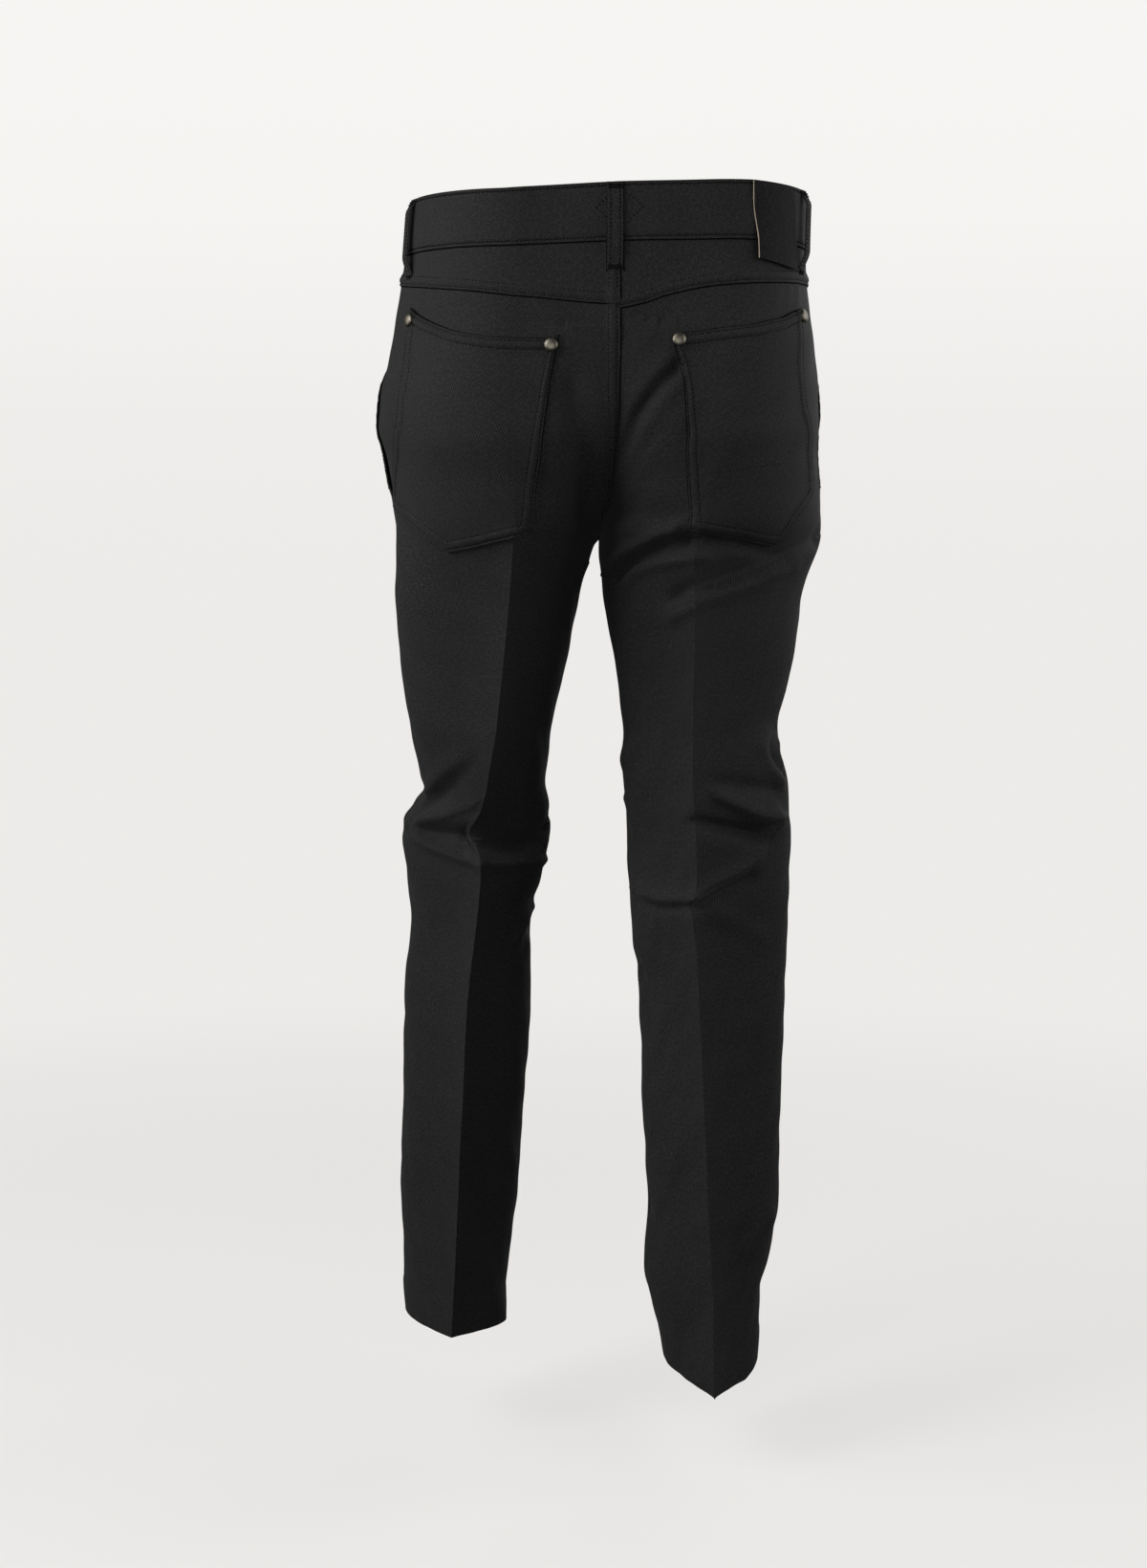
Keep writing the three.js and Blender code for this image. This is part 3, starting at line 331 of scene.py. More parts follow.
# How far the front stands off the hip along each slanted pocket mouth: z, raise
leftMouth = np.array([
    [-45, 2.4], [-90, 2.4], [-122, 3], [-138, 5], [-165, 4.6], [-190, 3.8], [-205, 3.2], [-218, 3],
    [-234, 2.8], [-242, 2], [-270, 0],
], float)
rightMouth = np.array([
    [-45, 2.4], [-100, 3], [-128, 6], [-150, 8.5], [-175, 7], [-190, 4], [-228, 2.6], [-240, 2], [-270, 0],
], float)
# z, and the u of a back pocket's outer and inner side
leftPocketSides = np.array([
    [-45, 0.6, 0.87], [-100, 0.588, 0.858], [-121, 0.589, 0.85], [-155, 0.595, 0.829], [-184, 0.591, 0.813],
    [-213, 0.565, 0.8], [-241, 0.53, 0.787], [-270, 0.518, 0.775], [-285, 0.518, 0.772],
], float)
rightPocketSides = np.array([
    [-45, 0.6, 0.88], [-96, 0.603, 0.872], [-125, 0.61, 0.866], [-139, 0.613, 0.842], [-154, 0.61, 0.828],
    [-174, 0.602, 0.819], [-204, 0.585, 0.803], [-230, 0.58, 0.787], [-257, 0.582, 0.771], [-285, 0.585, 0.76],
], float)
# Share across a pocket from its outer side, and its scooped top and pointed bottom
leftPocketEnds = np.array([
    [0, -93, -249], [0.12, -102, -256], [0.25, -110, -262], [0.35, -115, -269], [0.46, -118, -277],
    [0.56, -120, -285], [0.73, -121, -280], [0.86, -121, -275], [1, -119, -270],
], float)
rightPocketEnds = np.array([
    [0, -95, -238], [0.09, -99, -247], [0.18, -104, -256], [0.28, -107, -267], [0.36, -110, -281],
    [0.48, -112, -279], [0.6, -114, -276], [0.72, -116, -274], [0.85, -117, -271], [1, -119, -268],
], float)
yokeSeam = np.array([
    [0.5, -68, -72], [0.6, -75, -74], [0.7, -82, -78], [0.75, -86, -80], [0.82, -89, -84], [0.9, -91, -88],
    [1, -94, -97],
], float)
# u, and the height of each leg's hem: lowest at the back crease
leftHem = np.array([
    [0, -957], [0.25, -950], [0.5, -949], [0.62, -955], [0.75, -959], [0.9, -958], [1, -957],
], float)
rightHem = np.array([
    [0, -970], [0.25, -975], [0.5, -966], [0.57, -974], [0.63, -982], [0.75, -987], [0.87, -978], [1, -970],
], float)
# x, and how far the waist rides up there
waistTilt = np.array([[-165, 1], [-105, 3], [0, 0], [90, -5], [165, -5]], float)

left = {"side": 1, "name": "left", "sections": leftSections, "inseam": leftInseam, "folds": leftFolds,
        "mouth": leftMouth, "pocketSides": leftPocketSides, "pocketEnds": leftPocketEnds, "yoke": 1,
        "hem": -959, "hemLine": leftHem}
right = {"side": -1, "name": "right", "sections": rightSections, "inseam": rightInseam, "folds": rightFolds,
         "mouth": rightMouth, "pocketSides": rightPocketSides, "pocketEnds": rightPocketEnds, "yoke": 2,
         "hem": -987, "hemLine": rightHem}


def blend(start, end, share):
    return start + (end - start) * share


def smooth(start, end, value):
    share = np.clip((value - start) / (end - start), 0, 1)
    return share * share * (3 - 2 * share)


def curveThrough(rows, z):  # a smooth curve through every column of a table whose z falls
    keys = rows[:, 0]
    flat = np.clip(np.ravel(z), keys[-1], keys[0])
    index = np.clip(np.searchsorted(-keys, -flat, side="right") - 1, 0, len(keys) - 2)
    p0, p1 = rows[np.maximum(index - 1, 0)], rows[index]
    p2, p3 = rows[index + 1], rows[np.minimum(index + 2, len(rows) - 1)]
    span = p2[:, :1] - p1[:, :1]
    s = (flat[:, None] - p1[:, :1]) / span
    m1 = (p2 - p0) / (p2[:, :1] - p0[:, :1]) * span
    m2 = (p3 - p1) / (p3[:, :1] - p1[:, :1]) * span
    value = (2 * s**3 - 3 * s**2 + 1) * p1 + (s**3 - 2 * s**2 + s) * m1 + (3 * s**2 - 2 * s**3) * p2 \
        + (s**3 - s**2) * m2
    return [value[:, k].reshape(np.shape(z)) for k in range(1, rows.shape[1])]


def lineThrough(rows, column, key):
    order = np.argsort(rows[:, 0])
    return np.interp(key, rows[order, 0], rows[order, column])


def sectionPoint(half, u, z, sharp=1.0):
    out, outY, backX, backY, frontX, frontY, pressBack, pressFront = curveThrough(half["sections"], z)
    seamX, seat, fly, cleftBack, cleftFront = curveThrough(centreSeam, z)
    inX, inY = curveThrough(half["inseam"], z)
    above = z >= fork["z"]
    rise = np.sqrt(1 - (1 - np.clip((z - fork["z"]) / fork["curve"], 0, 1)) ** fork["power"])
    quarter = np.clip(np.floor(u * 4), 0, 3)
    onFront, outer = quarter < 2, (quarter == 1) | (quarter == 2)
    creaseX, creaseY = np.where(onFront, frontX, backX), np.where(onFront, frontY, backY)
    press = sharp * form["roundness"] * form["pressPull"] * np.where(onFront, pressFront, pressBack)
    endX = np.where(above, half["side"] * seamX, inX)
    endY = np.where(above, blend(fork["y"], np.where(onFront, fly, seat), rise), inY)
    turn = np.radians(np.where(above, blend(90, np.where(onFront, cleftFront, cleftBack), rise), 90))
    reach = form["roundness"] * np.hypot((creaseX - endX) * np.cos(turn), (creaseY - endY) * np.sin(turn))
    pull = form["roundness"]
    nearX = np.where(outer, creaseX + pull * (out - creaseX), creaseX - pull * (creaseX - endX))
    nearY = creaseY + press * (np.where(outer, outY, endY) - creaseY)
    farX = np.where(outer, out, endX + reach * np.cos(turn))
    towards = np.sign(creaseY - endY)
    farY = np.where(outer, outY + pull * (creaseY - outY), endY + towards * reach * np.sin(turn))
    lastX, lastY = np.where(outer, out, endX), np.where(outer, outY, endY)
    share = u * 4 - quarter
    t = np.where((quarter == 0) | (quarter == 2), 1 - share, share)
    w = [(1 - t) ** 3, 3 * (1 - t) ** 2 * t, 3 * (1 - t) * t**2, t**3]
    x = w[0] * creaseX + w[1] * nearX + w[2] * farX + w[3] * lastX
    y = w[0] * creaseY + w[1] * nearY + w[2] * farY + w[3] * lastY
    return np.stack([half["side"] * x, y, z], axis=-1)


def normalAt(half, u, z, sharp=1.0, du=0.004, dz=1.5):
    around = sectionPoint(half, np.minimum(u + du, 1), z, sharp) \
        - sectionPoint(half, np.maximum(u - du, 0), z, sharp)
    up = sectionPoint(half, u, np.minimum(z + dz, 10), sharp) \
        - sectionPoint(half, u, np.maximum(z - dz, half["hem"]), sharp)
    normal = np.cross(around, up) * half["side"]
    return normal / np.linalg.norm(normal, axis=-1, keepdims=True)


def foldLift(half, u, z):
    total = np.zeros(np.shape(u))
    for path, width, lift, lean in half["folds"]:
        path = np.array(path, float)
        steps = np.hypot(np.diff(path[:, 0]) * form["wayRound"], np.diff(path[:, 1]))
        run, whole = 0.0, steps.sum()
        nearest, along, over = np.full(np.shape(u), 1e9), np.zeros(np.shape(u)), np.zeros(np.shape(u))
        for (u0, z0), (u1, z1), step in zip(path, path[1:], steps):
            dirX, dirZ = (u1 - u0) * form["wayRound"] / step, (z1 - z0) / step
            turns = u - u0
            placeX, placeZ = (turns - np.round(turns)) * form["wayRound"], z - z0
            t = np.clip(placeX * dirX + placeZ * dirZ, 0, step)
            away = np.hypot(placeX - t * dirX, placeZ - t * dirZ)
            closer = away < nearest
            along = np.where(closer, (run + t) / whole, along)
            over = np.where(closer, np.sign((placeZ * dirX - placeX * dirZ) * (dirX if dirX else 1)), over)
            nearest = np.minimum(nearest, away)
            run += step
        total += blend(*lift, along) * np.exp(-((nearest / (blend(*width, along) * (1 + lean * over))) ** 2))
    guard = smooth(0, 24 / form["wayRound"], np.minimum(u, 1 - u))
    return total * np.where(z > fork["z"] - 20, guard, 1)


# Slow unevenness of worn cloth: turns round the leg, turns per metre down it, phase and height in mm
waver = [(5, 9, 0.4, 0.35), (8, 15, 2.1, 0.25), (13, 23, 4.0, 0.16), (3, 31, 1.2, 0.16), (19, 12, 5.3, 0.10)]


def waverLift(half, u, z):
    total = np.zeros(np.shape(u))
    for round1, down, phase, height in waver:
        total += height * np.sin(2 * math.pi * (round1 * u + down * z * mm) + phase * (2 + half["side"]))
    return total * smooth(-40, -110, z)


def waistShift(point):
    tilt = lineThrough(waistTilt, 1, point[..., 0])
    dip = band["frontDip"] * smooth(-10, 100, -point[..., 1])
    return (tilt - dip) * smooth(-band["fade"], 0, point[..., 2])


def onCloth(half, u, z, out=0.0):
    u, z = np.broadcast_arrays(np.asarray(u, float), np.asarray(z, float))
    point = sectionPoint(half, u, z)
    normal = normalAt(half, u, z)
    shift = waistShift(point)
    # Folds rise and sink square to the cloth before it was pressed, so they run evenly over a crease.
    point = point + normalAt(half, u, z, 0.0) * foldLift(half, u, z)[..., None]
    point = point + normal * (waverLift(half, u, z) + out)[..., None]
    point[..., 2] += shift
    return point, normal


# Twill: rib, break and depth in mm, lean and crossing in degrees, hair and cloud as noise scales.
twillFinish = {
    "rib": 1.6, "break": 1.7, "depth": 0.22, "lean": 40, "crossing": 103, "roughness": 0.85, "gloss": 0.28,
    "sheen": 0.05, "sheenTint": "#c9c8cc", "hair": 420, "hairLift": 0.22, "cloud": 14,
    "worn": {"To Min": 0.88, "To Max": 1.10},
}
# Yarn colours: the yarn's own tone, drawn lighter on the raised ribs as painted light and darker in the valleys
# as painted shade.
blackYarnLitAndShaded = {"raised": "#313231", "valley": "#060706"}
edgeYarnLitAndShaded = {"raised": "#4a4a48", "valley": "#1d1d1c"}
noiseEnds = {"From Min": 0.3, "From Max": 0.7}  # most of a noise texture's values lie between these


def twillMaterial(name, yarn, turn=0.0):
    # Cotton twill, yarn dyed black: raised diagonal ribs broken by the crossing yarns give a dull,
    # slightly hairy face with no clear highlight. The ribs are drawn a little coarser than woven ones.
    material, tree = newMaterial(name)
    place = addNode(tree, "ShaderNodeUVMap", uv_map="cloth").outputs[0]
    waves = []
    lean = twillFinish["lean"]
    for angle, size in ((lean, "rib"), (lean + twillFinish["crossing"], "break")):
        turned = addNode(tree, "ShaderNodeMapping", {"Vector": place,
                         "Rotation": (0, 0, math.radians(angle + turn))})
        waves.append(addNode(tree, "ShaderNodeTexWave", {"Vector": turned.outputs[0], "Distortion": 0.9,
                     "Detail": 1.0, "Detail Scale": 1.6, "Scale": 0.314 / (twillFinish[size] * mm)}))
    weave = addNode(tree, "ShaderNodeMath", {0: waves[0].outputs["Fac"], 1: waves[1].outputs["Fac"]},
                    operation="MULTIPLY")
    fine = addNode(tree, "ShaderNodeTexNoise", {"Vector": place, "Scale": twillFinish["hair"], "Detail": 3})
    hairy = addNode(tree, "ShaderNodeMapRange", {"Value": fine.outputs["Fac"], **noiseEnds,
                    "To Min": -twillFinish["hairLift"], "To Max": twillFinish["hairLift"]})
    height = addNode(tree, "ShaderNodeMath", {0: weave.outputs[0], 1: hairy.outputs["Result"]}).outputs[0]
    spot = addNode(tree, "ShaderNodeTexCoord").outputs["Object"]
    cloud = addNode(tree, "ShaderNodeTexNoise", {"Vector": spot, "Scale": twillFinish["cloud"], "Detail": 3})
    worn = addNode(tree, "ShaderNodeMapRange", {"Value": cloud.outputs["Fac"], **noiseEnds,
                   **twillFinish["worn"]})
    # Painted light and shade: the colour follows the weave's height, lighter on the ribs and darker in the
    # valleys.
    colour = addNode(tree, "ShaderNodeMix", {0: height, 6: linear(yarn["valley"]), 7: linear(yarn["raised"])},
                     data_type="RGBA")
    shaded = addNode(tree, "ShaderNodeMix", {0: 1.0, 6: colour.outputs[2], 7: worn.outputs["Result"]},
                     data_type="RGBA", blend_type="MULTIPLY")
    bump = addNode(tree, "ShaderNodeBump", {"Strength": 0.6, "Distance": twillFinish["depth"] * mm,
                   "Height": height})
    shader = addNode(tree, "ShaderNodeBsdfPrincipled", {"Base Color": shaded.outputs[2],
                     "Roughness": twillFinish["roughness"], "IOR": 1.45,
                     "Specular IOR Level": twillFinish["gloss"], "Sheen Weight": twillFinish["sheen"],
                     "Sheen Roughness": 0.45, "Sheen Tint": linear(twillFinish["sheenTint"]),
                     "Normal": bump.outputs[0]})
    addNode(tree, "ShaderNodeOutputMaterial", {"Surface": shader.outputs[0]})
    return material


hideFinish = {"pebble": 1.7, "wrinkle": 160, "wrinkleShare": 1.4, "depth": 0.45, "speck": 900,
              "rubbed": {"From Min": 0.55, "From Max": 0.8}, "dark": "#070707", "pale": "#2e2e2d"}


def leatherMaterial():
    # Embossed cowhide, black: small pebbles and shallow creases with a dry, hardly shining face, rubbed
    # paler in fine specks.
    material, tree = newMaterial("pebbled black cowhide")
    spot = addNode(tree, "ShaderNodeTexCoord").outputs["Object"]
    pebble = addNode(tree, "ShaderNodeTexVoronoi", {"Vector": spot, "Scale": 1 / (hideFinish["pebble"] * mm)},
                     feature="SMOOTH_F1")
    wrinkle = addNode(tree, "ShaderNodeTexNoise", {"Vector": spot, "Scale": hideFinish["wrinkle"], "Detail": 4})
    height = addNode(tree, "ShaderNodeMath", {0: wrinkle.outputs["Fac"], 1: hideFinish["wrinkleShare"],
                     2: pebble.outputs["Distance"]}, operation="MULTIPLY_ADD")
    bump = addNode(tree, "ShaderNodeBump", {"Strength": 0.8, "Distance": hideFinish["depth"] * mm,
                   "Height": height.outputs[0]}, invert=True)
    speck = addNode(tree, "ShaderNodeTexNoise", {"Vector": spot, "Scale": hideFinish["speck"], "Detail": 2})
    rubbed = addNode(tree, "ShaderNodeMapRange", {"Value": speck.outputs["Fac"], **hideFinish["rubbed"]})
    colour = addNode(tree, "ShaderNodeMix", {0: rubbed.outputs["Result"], 6: linear(hideFinish["dark"]),
                     7: linear(hideFinish["pale"])}, data_type="RGBA")
    shader = addNode(tree, "ShaderNodeBsdfPrincipled", {"Base Color": colour.outputs[2], "Roughness": 0.75,
                     "IOR": 1.45, "Specular IOR Level": 0.14, "Normal": bump.outputs[0]})
    addNode(tree, "ShaderNodeOutputMaterial", {"Surface": shader.outputs[0]})
    return material


def plainMaterial(name, colour, roughness, metallic=0.0, grain=0.0, grainSize=0.6, ior=1.5):
    material, tree = newMaterial(name)
    spot = addNode(tree, "ShaderNodeTexCoord").outputs["Object"]
    speckle = addNode(tree, "ShaderNodeTexNoise", {"Vector": spot, "Scale": 1 / (grainSize * mm),
                      "Detail": 3}).outputs["Fac"]
    tone = addNode(tree, "ShaderNodeMapRange", {"Value": speckle, "To Min": 0.72, "To Max": 1.25})
    shaded = addNode(tree, "ShaderNodeMix", {0: 1.0, 6: linear(colour), 7: tone.outputs["Result"]},
                     data_type="RGBA", blend_type="MULTIPLY")
    bump = addNode(tree, "ShaderNodeBump", {"Strength": 0.5, "Distance": grain * mm, "Height": speckle})
    shader = addNode(tree, "ShaderNodeBsdfPrincipled", {"Base Color": shaded.outputs[2], "Roughness": roughness,
                     "Metallic": metallic, "IOR": ior, "Normal": bump.outputs[0]})
    addNode(tree, "ShaderNodeOutputMaterial", {"Surface": shader.outputs[0]})
    return material


twill = twillMaterial("black cotton twill", blackYarnLitAndShaded)
bandTwill = twillMaterial("black cotton twill, cut across", blackYarnLitAndShaded, 90)
edgeTwill = twillMaterial("selvedge, self-finished twill edge", edgeYarnLitAndShaded, 45)
cowhide = leatherMaterial()
hideEdge = plainMaterial("cut edge of cowhide, undyed", "#a39685", 0.85, grain=0.1)  # fibrous, pale
# Spun polyester-cotton thread, black and dull: partly its own black and partly painted shade, coloured darker
# than the cloth so each stitch is a dark dot like the shade of its stitch holes.
thread = plainMaterial("black sewing thread, spun, darkened as painted shade", "#030303", 0.9, grain=0.05, grainSize=0.25, ior=1.25)
# Painted shade: a near-black cloth that stands in for the shadow where a lapped edge turns under and hardly any
# light reaches it.
paintedSeamShadow = plainMaterial("painted seam shadow, near-black", "#020202", 0.95, ior=1.15)
# Steel plated in antique nickel: a warm grey, with a satin shine.
nickel = plainMaterial("antique nickel on pressed steel", "#6e695f", 0.46, 1.0, grain=0.04, grainSize=0.8)
zipMetal = plainMaterial("zip teeth, cast zinc", "#8d877c", 0.42, 1.0, grain=0.05, grainSize=0.5)
print("materials made")


def gridNormals(points):
    across, down = np.gradient(points, axis=1), np.gradient(points, axis=0)
    normal = np.cross(across, down)
    return normal / np.maximum(np.linalg.norm(normal, axis=-1, keepdims=True), 1e-9)


def newPiece(name, points, faces, uv, materials, faceMaterial=None, sharp=48):
    mesh = bpy.data.meshes.new(name)
    mesh.from_pydata((np.asarray(points) * mm).tolist(), [], [list(face) for face in faces])
    if uv is not None:
        layer = mesh.uv_layers.new(name="cloth")
        corners = np.empty(len(mesh.loops), np.int32)
        mesh.loops.foreach_get("vertex_index", corners)
        layer.data.foreach_set("uv", (np.asarray(uv)[corners] * mm).ravel())
    for material in materials:
        mesh.materials.append(material)
    mesh.polygons.foreach_set("use_smooth", [True] * len(mesh.polygons))
    if faceMaterial is not None:
        mesh.polygons.foreach_set("material_index", faceMaterial)
    mesh.set_sharp_from_angle(angle=math.radians(sharp))
    mesh.update()
    piece = bpy.data.objects.new(name, mesh)
    bpy.context.collection.objects.link(piece)
    return piece


def quadGrid(rows, columns, offset=0, turned=False):
    r, c = np.meshgrid(np.arange(rows - 1), np.arange(columns - 1), indexing="ij")
    a = (r * columns + c + offset).ravel()
    quad = np.stack([a, a + 1, a + columns + 1, a + columns], axis=1)
    return quad[:, ::-1] if turned else quad


def grainUv(points, column):  # flat cloth coordinates: across from one column, and down along it
    across = np.linalg.norm(np.diff(points, axis=1), axis=-1)
    across = np.concatenate([np.zeros((len(points), 1)), np.cumsum(across, axis=1)], axis=1)
    across -= across[:, column:column + 1]
    down = np.linalg.norm(np.diff(points[:, column], axis=0), axis=-1)
    down = np.concatenate([[0], np.cumsum(down)])
    return np.stack([across, np.broadcast_to(-down[:, None], across.shape)], axis=-1).reshape(-1, 2)


def clothWall(name, outer, thick, materials=None, grain=0, outward=1, sharp=48):
    # A closed wall of cloth: the outer grid, an inner one, and a rim between them.
    rows, columns = outer.shape[:2]
    normal = gridNormals(outer) * outward
    inner = outer - normal * thick
    points = np.concatenate([outer.reshape(-1, 3), inner.reshape(-1, 3)])
    layer = rows * columns
    faces = [quadGrid(rows, columns, 0, outward < 0), quadGrid(rows, columns, layer, outward > 0)]
    ring = np.concatenate([
        np.arange(columns), np.arange(1, rows) * columns + columns - 1,
        (rows - 1) * columns + np.arange(columns - 2, -1, -1), np.arange(rows - 2, 0, -1) * columns,
    ])
    after = np.roll(ring, -1)
    rim = np.stack([ring, ring + layer, after + layer, after], axis=1)
    faces.append(rim[:, ::-1] if outward < 0 else rim)
    uv = grainUv(outer, grain)
    return newPiece(name, points, np.concatenate(faces), np.concatenate([uv, uv]), materials or [twill],
                    sharp=sharp)


def clothSleeve(name, rings, materials=None, sharp=60, outward=1):
    # A closed piece from rings of points one after the other, with both ends capped.
    count, around = rings.shape[:2]
    points = rings.reshape(-1, 3)
    faces = []
    for k in range(count - 1):
        for j in range(around):
            j2 = (j + 1) % around
            faces.append([k * around + j, k * around + j2, (k + 1) * around + j2, (k + 1) * around + j])
    faces.append(list(range(around))[::-1])
    faces.append([(count - 1) * around + j for j in range(around)])
    if outward < 0:
        faces = [face[::-1] for face in faces]
    closed = np.concatenate([rings, rings[:, :1]], axis=1)
    girth = np.cumsum(np.linalg.norm(np.diff(closed, axis=1), axis=-1), axis=1)
    girth = np.concatenate([np.zeros((count, 1)), girth[:, :-1]], axis=1)
    length = np.concatenate([[0], np.cumsum(np.linalg.norm(np.diff(rings.mean(1), axis=0), axis=-1))])
    uv = np.stack([girth, np.broadcast_to(length[:, None], girth.shape)], axis=-1).reshape(-1, 2)
    return newPiece(name, points, faces, uv, materials or [twill], sharp=sharp)


def spread(start, end, step, ends=0.45):
    # Values from start to end at about the given step, closer together near both ends.
    count = max(int(math.ceil(abs(end - start) / step)), 2)
    t = np.linspace(0, 1, count + 1)
    t = t - (1 - ends) * np.sin(2 * math.pi * t) / (2 * math.pi)
    return start + (end - start) * t


def finishPiece(piece, slot, *nodes):
    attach(piece, "root")
    if nodes:
        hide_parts(*nodes)
    return piece


# Fronts, backs, yokes and hip pieces.
panel = {
    "thick": 1.0, "step": 2.1, "frontStep": 2.9, "seamDip": 1.2, "seamWidth": 1.8, "raise": 0.15,
    "hemTurn": 28, "hemStep": 0.5, "hemBend": 90,
}
# The lapped edge: how wide and high it is, where its two rows run, and how the cloth puffs and puckers.
lap = {
    "height": 1.3, "width": 9.5, "edge": 1.5, "rows": (2.0, 8.2), "groove": 0.7, "rowWidth": 0.8, "puff": 0.5,
    "puffWidth": 2.2, "roll": 0.35, "rollWidth": 0.6, "pucker": 0.2, "puckerPitch": 8.5, "puckerWidth": 5.0,
}


def halfWall(half, name, node, points, grain):
    piece = clothWall(name + half["name"].title(), points, panel["thick"], grain=grain, outward=-half["side"])
    return finishPiece(piece, "twill", f"{node}_{half['name']}")


def bell(away, width):
    return np.exp(-((away / width) ** 2))


def lapProfile(away, height=None, along=None):
    # A lapped, topstitched edge: raised over its allowance, pinched at each row of stitches and
    # puffed up between them, with small puckers along it.
    height = lap["height"] if height is None else height
    first, second = lap["rows"]
    lift = height * (1 - smooth(lap["width"] - lap["edge"], lap["width"] + lap["edge"], away))
    lift -= lap["roll"] * bell(away, lap["rollWidth"])
    for row in lap["rows"]:
        lift -= lap["groove"] * bell(away - row, lap["rowWidth"])
    lift += lap["puff"] * bell(away - (first + second) / 2, lap["puffWidth"])
    if along is not None:
        ripple = np.sin(2 * math.pi * along / lap["puckerPitch"] + 1.3 * np.sin(along / 23.0))
        lift += lap["pucker"] * ripple * bell(away - first, lap["puckerWidth"])
    return lift


def seamDip(away):
    return -panel["seamDip"] * bell(away, panel["seamWidth"])


def legRows(half, top):
    # Row heights: close together at the top, in the folds under the seat and at the knee, and at the hem.
    stops = [top, top - 14, -240, -345, -425, -625, half["hem"] + 30, half["hem"] + 4, half["hem"]]
    steps = [1.6, 3.0, 1.6, 3.4, 1.6, 3.6, 2.8, 1.5]
    rows = [np.array([top])]
    for start, end, step in zip(stops, stops[1:], steps):
        count = max(int(round((start - end) / step)), 1)
        rows.append(np.linspace(start, end, count + 1)[1:])
    return np.concatenate(rows)


# The hem's allowance turns up inside the last row: how far each point of it rises and sinks
hemFold = np.array([(-0.35, -1.1), (0, -1.9), (1.2, -2.3), (6, -2.35), (14, -2.35), (22, -2.35),
                    (panel["hemTurn"], -2.2)])


def legPoints(half, u, z, out):
    moreZ = half["hem"] + np.broadcast_to(hemFold[:, :1], (len(hemFold), u.shape[1]))
    u = np.concatenate([u, np.broadcast_to(u[-1:], moreZ.shape)])
    z = np.concatenate([z, moreZ])
    out = np.concatenate([out, np.broadcast_to(hemFold[:, 1:], moreZ.shape)])
    bend = smooth(half["hem"] + panel["hemBend"], half["hem"], z)  # down to the hem's own line
    z = z + (lineThrough(half["hemLine"], 1, u) - half["hem"]) * bend
    return onCloth(half, u, z, out)[0]


def hemLift(half, z):
    turn = half["hem"] + panel["hemTurn"]
    return panel["hemStep"] * smooth(turn + 2, turn - 2, z)


def frontEdge(z):
    climb = np.clip((z - mouth["end"]) / (-band["width"] - mouth["end"]), 0, 1)
    return blend(0.5, mouth["top"], climb)


def mouthRaise(half, share, z):
    return curveThrough(half["mouth"], z)[0] * smooth(mouth["start"], mouth["lap"], share)


def makeFront(half):
    z = legRows(half, -band["width"] + 1.5)
    inner = spread(0, form["crease"], panel["frontStep"] / form["wayRound"])
    share = spread(0, 1, panel["frontStep"] / (form["crease"] * form["wayRound"]), ends=0.35)[1:]
    zz = np.broadcast_to(z[:, None], (len(z), len(inner) + len(share)))
    edge = frontEdge(zz[:, :1])
    innerU = np.broadcast_to(inner, (len(z), len(inner)))
    u = np.concatenate([innerU, blend(form["crease"], edge, share)], axis=1)
    along = np.concatenate([np.zeros(len(inner)), share])
    fromEdge, fromCentre = (edge - u) * form["wayRound"], u * form["wayRound"]
    openMouth = smooth(mouth["end"] - 6, mouth["end"] + 6, zz)
    onFly = smooth(fly["end"] - 12, fly["end"] + 4, zz)
    onRise = smooth(fork["z"] - 8, fork["z"] - 1, zz)  # above the fork the two halves close on each other
    flyLap = fly["lift"] if half is left else 0.0
    flat = (1 - smooth(fly["width"] - 2, fly["width"] + 2, fromCentre)) * flyLap
    centre = blend(seamDip(fromCentre), 0.7 * bell(fromCentre, 3.0), onRise)
    out = mouthRaise(half, np.broadcast_to(along, zz.shape), zz)
    out = out + openMouth * lapProfile(fromEdge, 0.8, zz) + (1 - openMouth) * seamDip(fromEdge)
    out = out + onFly * flat + (1 - onFly) * centre + hemLift(half, zz)
    return halfWall(half, "front", "front", legPoints(half, u, zz, out), len(inner) - 1)


def yokeSeamZ(half, u):
    return lineThrough(yokeSeam, half["yoke"], u)


def backColumns():
    step = panel["step"] / form["wayRound"]
    columns = np.concatenate([spread(0.5, 0.75, step), spread(0.75, 1, step, ends=0.35)[1:]])
    return columns, int(np.argmin(abs(columns - 0.75)))


def centreBack(half, fromCentre, z, tuck):  # the left half laps over the right one
    return lapProfile(fromCentre, None, z) if half is left else tuck * bell(fromCentre, 2.0)


def makeBack(half):
    columns, crease = backColumns()
    top, ease = -80, 9  # the rows' top before they are bent to run up under the yoke
    z = legRows(half, top)
    zz = np.broadcast_to(z[:, None], (len(z), len(columns)))
    u = np.broadcast_to(columns, zz.shape)
    zz = zz + (yokeSeamZ(half, u) + ease - top) * smooth(-170, top, zz)
    fromSide, fromCentre = (u - 0.5) * form["wayRound"], (1 - u) * form["wayRound"]
    seat = smooth(fork["z"] - 8, fork["z"] - 1, zz)
    tuck = -0.6 + 1.3 * smooth(fork["z"] + 40, fork["z"] + 5, zz)  # closed as the seam turns under
    centre = seat * centreBack(half, fromCentre, zz, tuck) + (1 - seat) * seamDip(fromCentre)
    under = -1.2 * smooth(-0.8, 1.0, zz - yokeSeamZ(half, u))
    out = seamDip(fromSide) + centre + hemLift(half, zz) + under
    return halfWall(half, "back", "back", legPoints(half, u, zz, out), crease)


